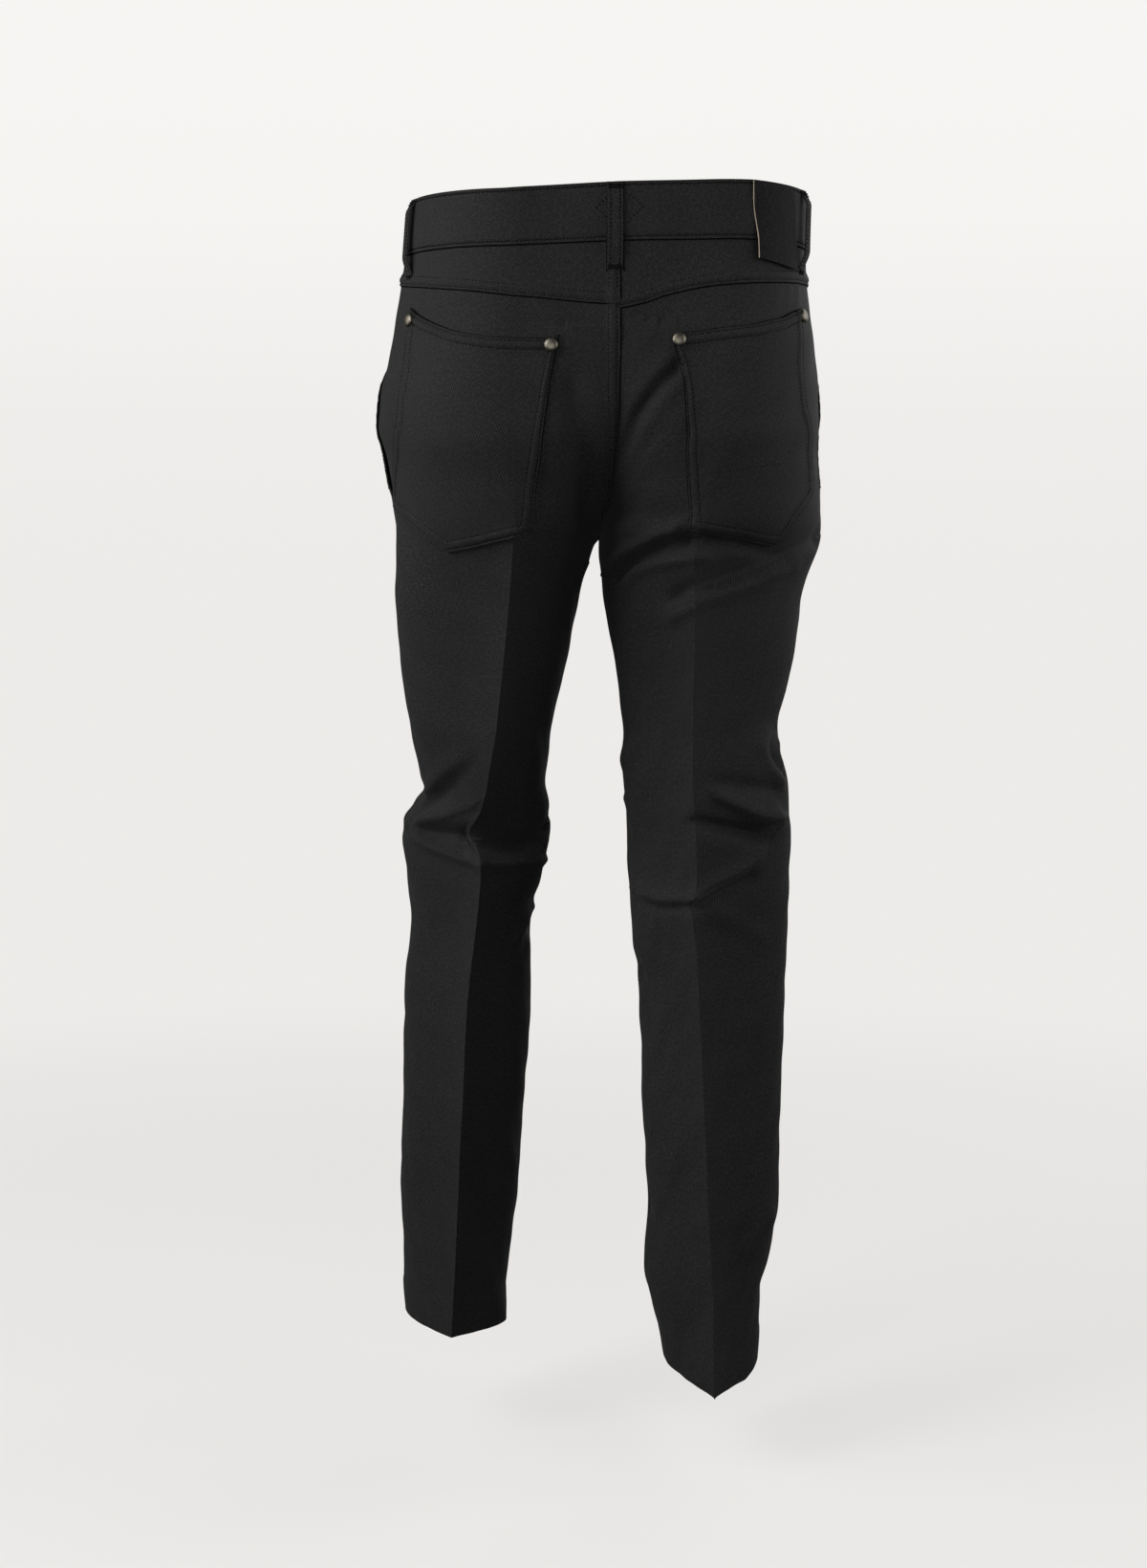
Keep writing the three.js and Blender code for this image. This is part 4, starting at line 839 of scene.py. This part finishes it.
def makeYoke(half):
    columns, crease = backColumns()
    share = spread(0, 1, 0.035, ends=0.3)
    u = np.broadcast_to(columns, (len(share), len(columns)))
    zz = blend(-band["width"] + 1.5, yokeSeamZ(half, u), share[:, None])
    fromSeam, fromCentre = zz - yokeSeamZ(half, u), (1 - u) * form["wayRound"]
    out = panel["raise"] + lapProfile(fromSeam, lap["height"], fromCentre) \
        + centreBack(half, fromCentre, zz, -0.6) \
        - 0.5 * smooth(-band["width"] - 2.5, -band["width"], zz) + seamDip((u - 0.5) * form["wayRound"])
    return halfWall(half, "yoke", "yoke", onCloth(half, u, zz, out)[0], crease)


def makeHip(half):
    z = np.linspace(-band["width"] + 1.5, mouth["end"] - 4, 76)
    share = np.linspace(0, 1, 24)
    start = frontEdge(z)[:, None] - 0.045  # it runs on behind the front's edge
    u = blend(start, 0.5, share)
    zz = np.broadcast_to(z[:, None], u.shape)
    out = seamDip((0.5 - u) * form["wayRound"]) - 0.6 * smooth(0.02, 0.0, u - frontEdge(zz) + 0.02)
    return halfWall(half, "hip", "hip", onCloth(half, u, zz, out)[0], len(share) - 1)


fly = {"end": -184, "width": 38, "lift": 0.8, "rows": (35, 41), "shield": 0.083, "shieldDepth": 3.8,
       "chain": 0.021, "chainEnds": (-66, -172), "chainDepth": 2.9, "teeth": 2.2, "tooth": (4.6, 1.5, 1.3)}

for half in (left, right):
    makeFront(half)
    makeBack(half)
    makeYoke(half)
    makeHip(half)
print("fronts, backs, yokes and hip pieces made")


# Back pockets.
backPocket = {
    "rim": 2.3, "bag": 1.0, "bagEdge": 40, "step": 1.5, "wide": 118, "long": 155, "lap": 0.6,
    "topRows": (2.0, 8.4), "groove": 0.85, "rowWidth": 1.0, "hemHeight": 0.7, "hemWidth": 10.0, "puff": 0.8,
    "puffAt": 5.2, "puffWidth": 2.2, "roll": 0.35, "rollWidth": 0.7,
}


def pocketPlace(half, across, down):
    ends = half["pocketEnds"]
    top = curveThrough(np.column_stack([-ends[:, 0], ends[:, 1]]), -across)[0]
    bottom = lineThrough(ends, 2, across)
    z = blend(top, bottom, down)
    outer = lineThrough(half["pocketSides"], 1, z)
    inner = lineThrough(half["pocketSides"], 2, z)
    return blend(outer, inner, across), z


def pocketEdges(half, u, z):
    # Distances in mm from a point of a pocket to its two sides, its bottom and its top.
    outer = lineThrough(half["pocketSides"], 1, z)
    inner = lineThrough(half["pocketSides"], 2, z)
    across = np.clip((u - outer) / (inner - outer), 0, 1)
    toSide = np.minimum(u - outer, inner - u) * form["wayRound"]
    toBottom = (z - lineThrough(half["pocketEnds"], 2, across)) * 0.9
    toTop = (lineThrough(half["pocketEnds"], 1, across) - z) * 0.97
    return toSide, toBottom, toTop


def pocketLift(half, u, z):
    toSide, toBottom, toTop = pocketEdges(half, u, z)
    edge = np.minimum(toSide, toBottom)
    bag = np.clip(np.minimum(edge, toTop + 20) / backPocket["bagEdge"], 0, 1)
    lift = backPocket["rim"] + backPocket["bag"] * np.sin(bag * math.pi / 2)
    lift = lift + lapProfile(edge, backPocket["lap"], z + 200 * u)
    width = backPocket["hemWidth"]
    hem = backPocket["hemHeight"] * (1 - smooth(width - lap["edge"], width + lap["edge"], toTop))
    for row in backPocket["topRows"]:
        hem -= backPocket["groove"] * bell(toTop - row, backPocket["rowWidth"])
    hem += backPocket["puff"] * bell(toTop - backPocket["puffAt"], backPocket["puffWidth"])
    return lift + hem - backPocket["roll"] * bell(toTop, backPocket["rollWidth"])


def makePocket(half):
    across = spread(0, 1, backPocket["step"] / backPocket["wide"], ends=0.35)
    down = spread(0, 1, backPocket["step"] / backPocket["long"], ends=0.35)
    a, d = np.meshgrid(across, down)
    u, z = pocketPlace(half, a, d)
    points, _ = onCloth(half, u, z, pocketLift(half, u, z))
    return halfWall(half, "backPocket", "back_pocket", points, len(across) // 2)


for half in (left, right):
    makePocket(half)
print("back pockets made")


# Waistband.
def bandStations():
    step = 3.0 / form["wayRound"]
    deep = band["thick"] + 0.4
    under = [(left, u, deep) for u in np.arange(band["underlap"], 0.002, -step)]
    turn = [(right, u, deep * float(smooth(0.03, 0.0, u))) for u in np.arange(0.0, 0.03, step)]
    roundRight = [(right, u, 0.0) for u in np.arange(0.03, 1.0, step)]
    roundLeft = [(left, u, 0.0) for u in np.arange(1.0, 0.0, -step)]
    return under + turn + roundRight + roundLeft + [(left, 0.0, 0.0)]


def bandProfile():
    # The band's section, from its outer face round its turned top edge to its inner face and back.
    width, thick, proud = band["width"], band["thick"], band["proud"]
    outer = []
    for z in spread(-width, -1.0, 1.3, ends=0.4):
        lift = proud + band["crown"] * math.sin(math.pi * -z / width)
        for row in band["rows"]:
            lift -= band["groove"] * bell(z - row, band["rowWidth"])
        outer.append((z, lift))
    top = [(-0.2, proud - 0.5), (0.0, proud - thick / 2), (-0.2, proud - thick + 0.5)]
    inner = [(z, proud - thick) for z in np.linspace(-1.0, -width, 9)]
    return np.array(outer + top + inner)


def placeStations(stations, z, out):
    # Points and normals on the cloth for stations (half, u, sink), each with the same z and out.
    shape = (len(stations), len(z))
    points, normals = np.zeros(shape + (3,)), np.zeros(shape + (3,))
    sink = np.array([station[2] for station in stations])[:, None]
    for half in (left, right):
        mine = np.array([station[0] is half for station in stations])
        u = np.array([station[1] for station in stations])[mine][:, None]
        if not mine.any():
            continue
        zz = np.broadcast_to(z, (mine.sum(), len(z)))
        points[mine], normals[mine] = onCloth(half, np.broadcast_to(u, zz.shape), zz, out[None] - sink[mine])
    return points, normals


def makeBand():
    profile = bandProfile()
    rings, _ = placeStations(bandStations(), profile[:, 0], profile[:, 1])
    piece = clothSleeve("bandCloth", rings, [bandTwill], outward=-1)
    return finishPiece(piece, "twill", "waistband")


makeBand()
print("waistband made")

# Belt loops.
loop = {"width": 12.5, "thick": 1.5, "top": -0.6, "bottom": -67.5, "rise": 0.18, "fall": 0.7,
        "end": 0.95, "rowIn": 2.6, "groove": 0.22, "tacks": (0.035, 0.955)}
# Name, half, u at the top and at the bottom, how far the ends sink into the side's bend, and how far the
# loop stands off the band
loops = [
    ("loop_back", left, (0.992, 0.992), 0.0, 1.4), ("loop_side_left", left, (0.542, 0.566), 0.6, 3.4),
    ("loop_side_right", right, (0.568, 0.584), 0.6, 4.2), ("loop_front_left", left, (0.25, 0.25), 0.0, 1.8),
    ("loop_front_right", right, (0.25, 0.25), 0.0, 1.8),
]


def loopFrame(half, u, sink, stand, share):
    # The loop's middle line, its outward and its sideways directions.
    normal = normalAt(half, np.array([sum(u) / 2]), np.array([-band["width"] / 2]))[0]
    normal[2] = 0
    normal /= np.linalg.norm(normal)
    sideways = np.array([-normal[1], normal[0], 0])
    z = blend(loop["top"], loop["bottom"], share)
    bow = (stand + sink) * smooth(0, loop["rise"], share) * smooth(1, loop["fall"], share)
    seat = blend(band["proud"], 0.15, smooth(loop["fall"], loop["end"], share))
    base, _ = onCloth(half, blend(*u, share), np.minimum(z, 0))
    base[:, 2] += np.maximum(z, 0)
    middle = base + normal * (seat + 0.2 + bow - sink + loop["thick"] / 2)[:, None]
    return middle, normal, sideways


def makeLoop(name, half, u, sink, stand):
    share = spread(0, 1, 0.02, ends=0.4)
    middle, normal, sideways = loopFrame(half, u, sink, stand, share)
    width, thick = loop["width"] / 2, loop["thick"] / 2
    outer = []
    for s in np.linspace(-width, width, 17):
        rounded = thick * (1 - 0.25 * abs(s / width) ** 6)
        outer.append((s, rounded - loop["groove"] * bell(abs(s) - width + loop["rowIn"], 0.8)))
    inner = [(width * 0.97, -thick * 0.6), (width * 0.8, -thick), (0, -thick), (-width * 0.8, -thick),
             (-width * 0.97, -thick * 0.6)]
    profile = np.array(outer + inner)
    tangent = np.gradient(middle, axis=0)
    tangent /= np.linalg.norm(tangent, axis=1, keepdims=True)
    out = np.cross(tangent, sideways)
    out *= np.sign(out @ normal)[:, None]
    rings = middle[:, None] + profile[None, :, :1] * sideways + profile[None, :, 1:] * out[:, None]
    piece = clothSleeve("".join([name.split("_")[0]] + [part.title() for part in name.split("_")[1:]]), rings,
                        [twill])
    return finishPiece(piece, "twill", name)


for name, half, u, sink, stand in loops:
    makeLoop(name, half, u, sink, stand)
print("belt loops made")

# Leather patch.
patch = {"outer": (0.606, 0.688), "top": -1.2, "bottom": (-66, -60), "thick": 1.1, "out": 0.8, "flare": 1.6,
         "curl": 0.5}


def makePatch():
    across, down = np.linspace(0, 1, 30), np.linspace(0, 1, 40)
    a, d = np.meshgrid(across, down)
    u = blend(*patch["outer"], a) + 0.002 * np.sin(d * 5 + 0.6) * a
    z = blend(patch["top"], blend(*patch["bottom"], a), d)
    curl = patch["flare"] * d**2 + patch["curl"] * np.sin(3 * math.pi * d + 1) * a**3
    out = patch["out"] + band["proud"] + curl + patch["thick"] - 0.3
    points, _ = onCloth(right, u, np.minimum(z, 0), out)
    points[..., 2] += np.maximum(z, 0)
    piece = clothWall("leatherPatch", points, patch["thick"], [cowhide, hideEdge], outward=1)
    # The rim runs along the top, one side, the bottom and the other side; only its sides are left undyed.
    wide, long = len(across) - 1, len(down) - 1
    marks = np.zeros(len(piece.data.polygons), np.int32)
    marks[-long:] = 1
    marks[-2 * long - wide:-long - wide] = 1
    piece.data.polygons.foreach_set("material_index", marks)
    return finishPiece(piece, "patch_leather", "patch")


makePatch()
print("patch made")


# Fly shield and selvedges.
def makeShield():
    u, z = np.meshgrid(np.linspace(0, fly["shield"], 18), np.linspace(-band["width"] + 1, fly["end"], 50))
    points, _ = onCloth(left, u, z, -fly["shieldDepth"])
    return finishPiece(clothWall("flyShield", points, panel["thick"], outward=-1), "twill", "fly_shield")


selvedge = {"width": 0.022, "depth": 2.7, "thick": 0.8, "top": -250}


def makeSelvedge(half):
    u, z = np.meshgrid(np.linspace(0.5 - selvedge["width"], 0.5 + selvedge["width"], 15),
                       np.arange(selvedge["top"], half["hem"] + 21, -3.6))
    points, _ = onCloth(half, u, z, -selvedge["depth"])
    piece = clothWall(f"selvedge{half['name'].title()}", points, selvedge["thick"], [edgeTwill],
                      grain=7, outward=-half["side"])
    return finishPiece(piece, "selvedge", f"selvedge_{half['name']}")


makeShield()
for half in (left, right):
    makeSelvedge(half)
print("fly shield and selvedges made")


# Rows of stitches, rivets and zip teeth: one mesh set along a path.
def alongPathTree():
    # Sets a small mesh at even steps along each line of a wire, standing on the cloth.
    tree = bpy.data.node_groups.new("setAlongPath", "GeometryNodeTree")
    for name, kind in (("Path", "Geometry"), ("Piece", "Object"), ("Pitch", "Float"), ("Length", "Float"),
                       ("Thickness", "Float"), ("Uneven", "Float"), ("Seed", "Int"), ("Finish", "Material")):
        tree.interface.new_socket(name, in_out="INPUT", socket_type="NodeSocket" + kind)
    tree.interface.new_socket("Pieces", in_out="OUTPUT", socket_type="NodeSocketGeometry")
    given = addNode(tree, "NodeGroupInput")
    curve = addNode(tree, "GeometryNodeMeshToCurve", {"Mesh": given.outputs["Path"]})
    steps = addNode(tree, "GeometryNodeResampleCurve", {"Curve": curve.outputs[0],
                    "Length": given.outputs["Pitch"]}, mode="LENGTH")
    outward = addNode(tree, "GeometryNodeInputNamedAttribute", {"Name": "outward"}, data_type="FLOAT_VECTOR")
    tangent = addNode(tree, "GeometryNodeInputTangent")
    turn = addNode(tree, "FunctionNodeAxesToRotation", {"Primary Axis": outward.outputs[0],
                   "Secondary Axis": tangent.outputs[0]}, primary_axis="Z", secondary_axis="X")
    low = addNode(tree, "ShaderNodeMath", {0: 1.0, 1: given.outputs["Uneven"]}, operation="SUBTRACT")
    vary = addNode(tree, "FunctionNodeRandomValue", {"Min": low.outputs[0], "Max": 1.0,
                   "Seed": given.outputs["Seed"]})
    length = addNode(tree, "ShaderNodeMath", {0: given.outputs["Length"], 1: vary.outputs["Value"]},
                     operation="MULTIPLY")
    size = addNode(tree, "ShaderNodeCombineXYZ", {"X": length.outputs[0], "Y": given.outputs["Thickness"],
                   "Z": given.outputs["Thickness"]})
    source = addNode(tree, "GeometryNodeObjectInfo", {"Object": given.outputs["Piece"]})
    spots = addNode(tree, "GeometryNodeInstanceOnPoints", {"Points": steps.outputs[0],
                    "Instance": source.outputs["Geometry"], "Rotation": turn.outputs[0],
                    "Scale": size.outputs[0]})
    real = addNode(tree, "GeometryNodeRealizeInstances", {"Geometry": spots.outputs[0]})
    finish = addNode(tree, "GeometryNodeSetMaterial", {"Geometry": real.outputs[0],
                     "Material": given.outputs["Finish"]})
    addNode(tree, "NodeGroupOutput", {"Pieces": finish.outputs[0]})
    return tree


setAlongPath = alongPathTree()


def setAlong(name, paths, source, finish, pitch, length=1.0, thickness=1.0, uneven=0.0, seed=7, slot="thread",
             nodes=()):
    # paths: lists of (points, outward directions) in mm
    points, outward, edges = [], [], []
    for line, normals in paths:
        start = len(points)
        points += (np.asarray(line) * mm).tolist()
        outward += np.asarray(normals).tolist()
        edges += [(start + k, start + k + 1) for k in range(len(line) - 1)]
    mesh = bpy.data.meshes.new(name + "Path")
    mesh.from_pydata(points, edges, [])
    mesh.attributes.new("outward", "FLOAT_VECTOR", "POINT").data.foreach_set("vector", np.ravel(outward))
    holder = bpy.data.objects.new(name + "Path", mesh)
    bpy.context.collection.objects.link(holder)
    modifier = holder.modifiers.new("set", "NODES")
    modifier.node_group = setAlongPath
    values = {"Piece": source, "Pitch": pitch * mm, "Length": length, "Thickness": thickness,
              "Uneven": uneven, "Seed": seed, "Finish": finish}
    for item in setAlongPath.interface.items_tree:
        if item.in_out == "INPUT" and item.name in values:
            modifier[item.identifier] = values[item.name]
    bpy.context.view_layer.update()
    made = bpy.data.meshes.new_from_object(holder.evaluated_get(bpy.context.evaluated_depsgraph_get()))
    made.name = name
    bpy.data.objects.remove(holder)
    piece = bpy.data.objects.new(name, made)
    bpy.context.collection.objects.link(piece)
    return finishPiece(piece, slot, *nodes)


def sourcePiece(name, points, faces):
    mesh = bpy.data.meshes.new(name)
    mesh.from_pydata(points, [], faces)
    mesh.polygons.foreach_set("use_smooth", [True] * len(mesh.polygons))
    piece = bpy.data.objects.new(name, mesh)
    bpy.context.collection.objects.link(piece)
    return piece


def lathe(profile, steps):
    # Points and faces of a turned shape, from its lowest middle point to its highest, about Z.
    points = [(0.0, 0.0, profile[0][1])]
    turns = [2 * math.pi * k / steps for k in range(steps)]
    for radius, height in profile[1:-1]:
        points += [(radius * math.cos(turn), radius * math.sin(turn), height) for turn in turns]
    points.append((0.0, 0.0, profile[-1][1]))
    rings = len(profile) - 2
    faces = [(0, 1 + (k + 1) % steps, 1 + k) for k in range(steps)]
    for ring in range(rings - 1):
        a, b = 1 + ring * steps, 1 + (ring + 1) * steps
        faces += [(a + k, a + (k + 1) % steps, b + (k + 1) % steps, b + k) for k in range(steps)]
    last, top = 1 + (rings - 1) * steps, len(points) - 1
    faces += [(last + k, last + (k + 1) % steps, top) for k in range(steps)]
    return points, faces


# One stitch: a plump length of thread whose ends dip into the cloth. Its own length runs along X.
stitch = {"pitch": 3.0, "length": 2.2, "thick": 0.95, "uneven": 0.12, "above": 0.05}


def stitchSource():
    profile = [(0, -0.5), (0.32, -0.36), (0.5, -0.12), (0.5, 0.12), (0.32, 0.36), (0, 0.5)]
    points, faces = lathe(profile, 6)
    points = [(z, x, y) for x, y, z in points]
    return sourcePiece("stitchSource", points, faces)


stitchPiece = stitchSource()


def rowOn(half, u, z, out):
    u, z = np.broadcast_arrays(np.asarray(u, float), np.asarray(z, float))
    return onCloth(half, u, z, np.asarray(out) + stitch["above"])


def sew(name, paths, seed):
    return setAlong(name, paths, stitchPiece, thread, stitch["pitch"], stitch["length"] * mm,
                    stitch["thick"] * mm, stitch["uneven"], seed)


def evenly(start, end, step=4.0):
    return np.linspace(start, end, max(int(abs(end - start) / step), 2))


def bandRows():
    paths = []
    stations = [station for station in bandStations() if station[2] == 0.0]
    for z in band["rows"]:
        points, normals = placeStations(stations, np.array([z]), np.array([band["proud"] + stitch["above"]]))
        paths.append((points[:, 0], normals[:, 0]))
    for half in (left, right):  # a diamond sewn through the band behind the back loop
        for way in (-1, 1):
            share = np.linspace(0, 1, 6)
            u = 1 - (9 + 12 * share) / form["wayRound"]
            z = -20 + way * 9 * (1 - share)
            paths.append(onCloth(half, u, z, band["proud"] + 0.2))
    return paths


def yokeRows():
    paths = []
    for half in (left, right):
        u = evenly(0.505, 0.998, 0.008)
        for row in lap["rows"]:
            paths.append(rowOn(half, u, yokeSeamZ(half, u) + row, 0.15 + 0.6))
    for row in lap["rows"]:  # the centre back seam, on its lapped side
        z = evenly(-band["width"] - 1, -93)
        paths.append(rowOn(left, 1 - row / form["wayRound"], z, 0.95))
        z = evenly(-96, fork["z"] + 14)
        paths.append(rowOn(left, 1 - row / form["wayRound"], z, 0.75))
    return paths


def pocketRows(half):
    paths = []
    for row in lap["rows"]:
        share = row / 118
        bottoms = half["pocketEnds"]
        tip = bottoms[np.argmin(bottoms[:, 2]), 0]
        for side in (0, 1):
            zTop = bottoms[0 if side == 0 else -1, 1] - 3
            zEnd = bottoms[0 if side == 0 else -1, 2] + row * 1.15
            z = evenly(zTop, zEnd, 3.0)
            inward = 1 if side == 0 else -1
            u = lineThrough(half["pocketSides"], 1 + side, z) + inward * row / form["wayRound"]
            paths.append(rowOn(half, u, z, pocketLift(half, u, z)))
        for a0, a1 in ((share, tip), (tip, 1 - share)):
            a = evenly(a0, a1, 0.03)
            z = lineThrough(bottoms, 2, a) + row * 1.12
            u = blend(lineThrough(half["pocketSides"], 1, z), lineThrough(half["pocketSides"], 2, z), a)
            paths.append(rowOn(half, u, z, pocketLift(half, u, z)))
    for row in backPocket["topRows"]:
        a = evenly(0.03, 0.97, 0.02)
        u, z = pocketPlace(half, a, np.zeros(len(a)))
        z = z - row
        paths.append(rowOn(half, u, z, pocketLift(half, u, z)))
    if half is right:  # a faint row sewn across from behind
        z = evenly(-223, -215, 0.2)
        u = np.interp(z, (-223, -215), (0.747, 0.662))
        paths.append(rowOn(half, u, z, pocketLift(half, u, z) - 0.2))
    return paths


def frontRows():
    paths = []
    for half in (left, right):
        for row in lap["rows"]:
            z = evenly(-band["width"] - 1, mouth["end"] + 2, 3.0)
            edge = frontEdge(z)
            u = edge - row / form["wayRound"]
            share = (u - form["crease"]) / (edge - form["crease"])
            paths.append(rowOn(half, u, z, mouthRaise(half, share, z) + 0.5))
    for row in fly["rows"]:  # the fly's curved rows
        turnAt = fly["end"] + row * 0.9
        z = evenly(-band["width"] - 1, turnAt, 3.0)
        u = np.full(len(z), row / form["wayRound"])
        angle = np.linspace(0, math.pi / 2, 12)[1:]
        z = np.concatenate([z, turnAt - row * 0.9 * np.sin(angle)])
        u = np.concatenate([u, row * np.cos(angle) / form["wayRound"]])
        paths.append(rowOn(left, u, z, 0.5))
    z = evenly(-band["width"] - 1, fly["end"] + 6, 3.0)
    paths.append(rowOn(left, np.full(len(z), 2.5 / form["wayRound"]), z, fly["lift"]))
    return paths


def loopRows():
    paths = []
    for _, half, u, sink, stand in loops:
        share = np.linspace(0.02, 0.97, 40)
        middle, normal, sideways = loopFrame(half, u, sink, stand, share)
        normals = np.broadcast_to(normal, middle.shape)
        for side in (-1, 1):
            offset = side * (loop["width"] / 2 - loop["rowIn"])
            paths.append((middle + sideways * offset + normal * (loop["thick"] / 2 + 0.05), normals))
    return paths


def loopTacks():
    paths = []
    for _, half, u, sink, stand in loops:
        for at in loop["tacks"]:
            middle, normal, sideways = loopFrame(half, u, sink, stand, np.array([at, at + 0.03]))
            for end in middle:
                line = end + np.linspace(-0.42, 0.42, 8)[:, None] * loop["width"] * sideways \
                    + normal * (loop["thick"] / 2 + 0.25)
                paths.append((line, np.broadcast_to(normal, line.shape)))
    return paths


# Painted shadow: a thin near-black line set along each lapped seam, the pockets' edges and both sides of the
# back loop, standing in for the shade where the fold of the lapped edge turns under.
seamShadowLine = {"pitch": 2.8, "length": 3.9, "thick": 0.9, "beyond": 0.5, "out": 0.15, "mouthOut": 1.2,
            "centreOut": -0.1, "loopFromCentre": 3.7}
tack = {"pitch": 0.62, "length": 0.5, "thick": 1.7, "uneven": 0.15}


def seamShadowLines():
    beyond, out = seamShadowLine["beyond"], seamShadowLine["out"]
    paths = []
    for half in (left, right):
        u = evenly(0.502, 0.999, 0.006)
        paths.append(onCloth(half, u, yokeSeamZ(half, u) - beyond, out))
        u = evenly(0.02, 0.999, 0.006)
        paths.append(onCloth(half, u, np.full(len(u), -band["width"] - beyond), out))
        for side, sign in ((1, -1), (2, 1)):
            ends = half["pocketEnds"][0 if side == 1 else -1]
            z = evenly(ends[1] - 1, ends[2], 3.0)
            u = lineThrough(half["pocketSides"], side, z) + sign * beyond / form["wayRound"]
            paths.append(onCloth(half, u, z, out))
        a = evenly(0.0, 1.0, 0.02)
        for down, sign in ((0, 1), (1, -1)):
            u, z = pocketPlace(half, a, np.full(len(a), float(down)))
            paths.append(onCloth(half, u, z + sign * beyond, out if down else seamShadowLine["mouthOut"]))
    z = evenly(-band["width"] - 1, fork["z"] + 12, 3.0)  # down the centre back
    paths.append(onCloth(right, np.full(len(z), 1 - beyond / form["wayRound"]), z, seamShadowLine["centreOut"]))
    for edge in (-1, 1):  # beside the back loop, on the band and the yoke
        away = seamShadowLine["loopFromCentre"] + edge * (loop["width"] / 2 + beyond)
        half = left if away > 0 else right
        u = 1 - abs(away) / form["wayRound"]
        z = evenly(-2, -band["width"] + 1, 3.0)
        paths.append(onCloth(half, np.full(len(z), u), z, band["proud"]))
        z = evenly(-band["width"] - 1, loop["bottom"], 3.0)
        paths.append(onCloth(half, np.full(len(z), u), z, 0.3 + 0.5 * (half is left)))
    return paths


# Painted seam shadows: the near-black lines set along the seams and beside the back loop.
setAlong("foldedEdges", seamShadowLines(), stitchPiece, paintedSeamShadow, seamShadowLine["pitch"], seamShadowLine["length"] * mm,
         seamShadowLine["thick"] * mm, 0.1, 11)
sew("threadBand", bandRows(), 3)
sew("threadYokes", yokeRows(), 4)
sew("threadPockets", pocketRows(left) + pocketRows(right), 5)
sew("threadFronts", frontRows(), 6)
sew("threadLoops", loopRows(), 8)
# Bar tacks: the same thread laid side by side across each end of a loop.
setAlong("threadTacks", loopTacks(), stitchPiece, thread, tack["pitch"], tack["length"] * mm,
         tack["thick"] * mm, tack["uneven"], 9)
print("rows of stitches made")

# Rivets, button and zip.
rivet = {"radius": 5.2, "height": 2.2, "seat": 2.2}
rivets = [("rivet_left_outer", left, 0.598, -103), ("rivet_left_inner", left, 0.833, -126),
          ("rivet_right_outer", right, 0.605, -101), ("rivet_right_inner", right, 0.85, -122)]


def rivetSource():
    r, h = rivet["radius"], rivet["height"]
    profile = [(0, -1), (r * 0.96, -1), (r, 0), (r * 0.97, h * 0.22), (r * 0.86, h * 0.5),
               (r * 0.68, h * 0.74), (r * 0.46, h * 0.9), (r * 0.24, h * 0.98), (0, h)]
    points, faces = lathe(profile, 24)
    return sourcePiece("rivetSource", [tuple(c * mm for c in p) for p in points], faces)


def makeRivets():
    paths = []
    for _, half, u, z in rivets:
        points, normals = onCloth(half, np.array([u]), np.array([z]), backPocket["rim"] + rivet["seat"])
        side = np.cross(normals[0], (0, 0, 1.0))
        paths.append((np.stack([points[0], points[0] + side * 0.4]), np.stack([normals[0]] * 2)))
    source = rivetSource()
    setAlong("rivets", paths, source, nickel, 5.0, slot="rivet_metal", nodes=[name for name, *_ in rivets])
    bpy.data.objects.remove(source)


makeRivets()
button = {"radius": 8.5, "height": 3.4, "u": 0.031, "z": -24}


def makeButton():
    # A tack button: rolled rim, sunk face and a small centre.
    r, h = button["radius"], button["height"]
    profile = [(0, 0), (r * 0.93, 0), (r, h * 0.3), (r, h * 0.6), (r * 0.93, h * 0.9), (r * 0.82, h),
               (r * 0.72, h * 0.9), (r * 0.68, h * 0.72), (r * 0.3, h * 0.76), (r * 0.2, h * 0.92),
               (0, h * 0.95)]
    points, faces = lathe(profile, 40)
    place, normal = onCloth(left, np.array([button["u"]]), np.array([button["z"]]), band["proud"] + 0.3)
    turn = Vector(normal[0]).to_track_quat("Z", "Y").to_matrix()
    moved = [np.array(turn @ Vector(p)) + place[0] for p in points]
    piece = newPiece("tackButton", moved, faces, None, [nickel], sharp=60)
    return finishPiece(piece, "rivet_metal", "button")


makeButton()


def makeZip():
    z = evenly(*fly["chainEnds"], 3.0)
    points, normals = onCloth(left, np.full(len(z), fly["chain"]), z, -fly["chainDepth"])
    width, deep, high = fly["tooth"]
    corners = [(x * high / 2, y * width / 2, w * deep / 2) for x in (-1, 1) for y in (-1, 1) for w in (-1, 1)]
    faces = [(0, 1, 3, 2), (4, 6, 7, 5), (0, 4, 5, 1), (2, 3, 7, 6), (0, 2, 6, 4), (1, 5, 7, 3)]
    source = sourcePiece("toothSource", [tuple(c * mm for c in p) for p in corners], faces)
    setAlong("zipTeeth", [(points, normals)], source, zipMetal, fly["teeth"], slot="zip", nodes=["zip_chain"])
    bpy.data.objects.remove(source)


makeZip()
bpy.data.objects.remove(stitchPiece)
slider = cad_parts["zip_slider"]
slider = bpy.data.objects[slider] if isinstance(slider, str) else slider
slider.data.materials.clear()
slider.data.materials.append(zipMetal)
print("rivets, button and zip made")
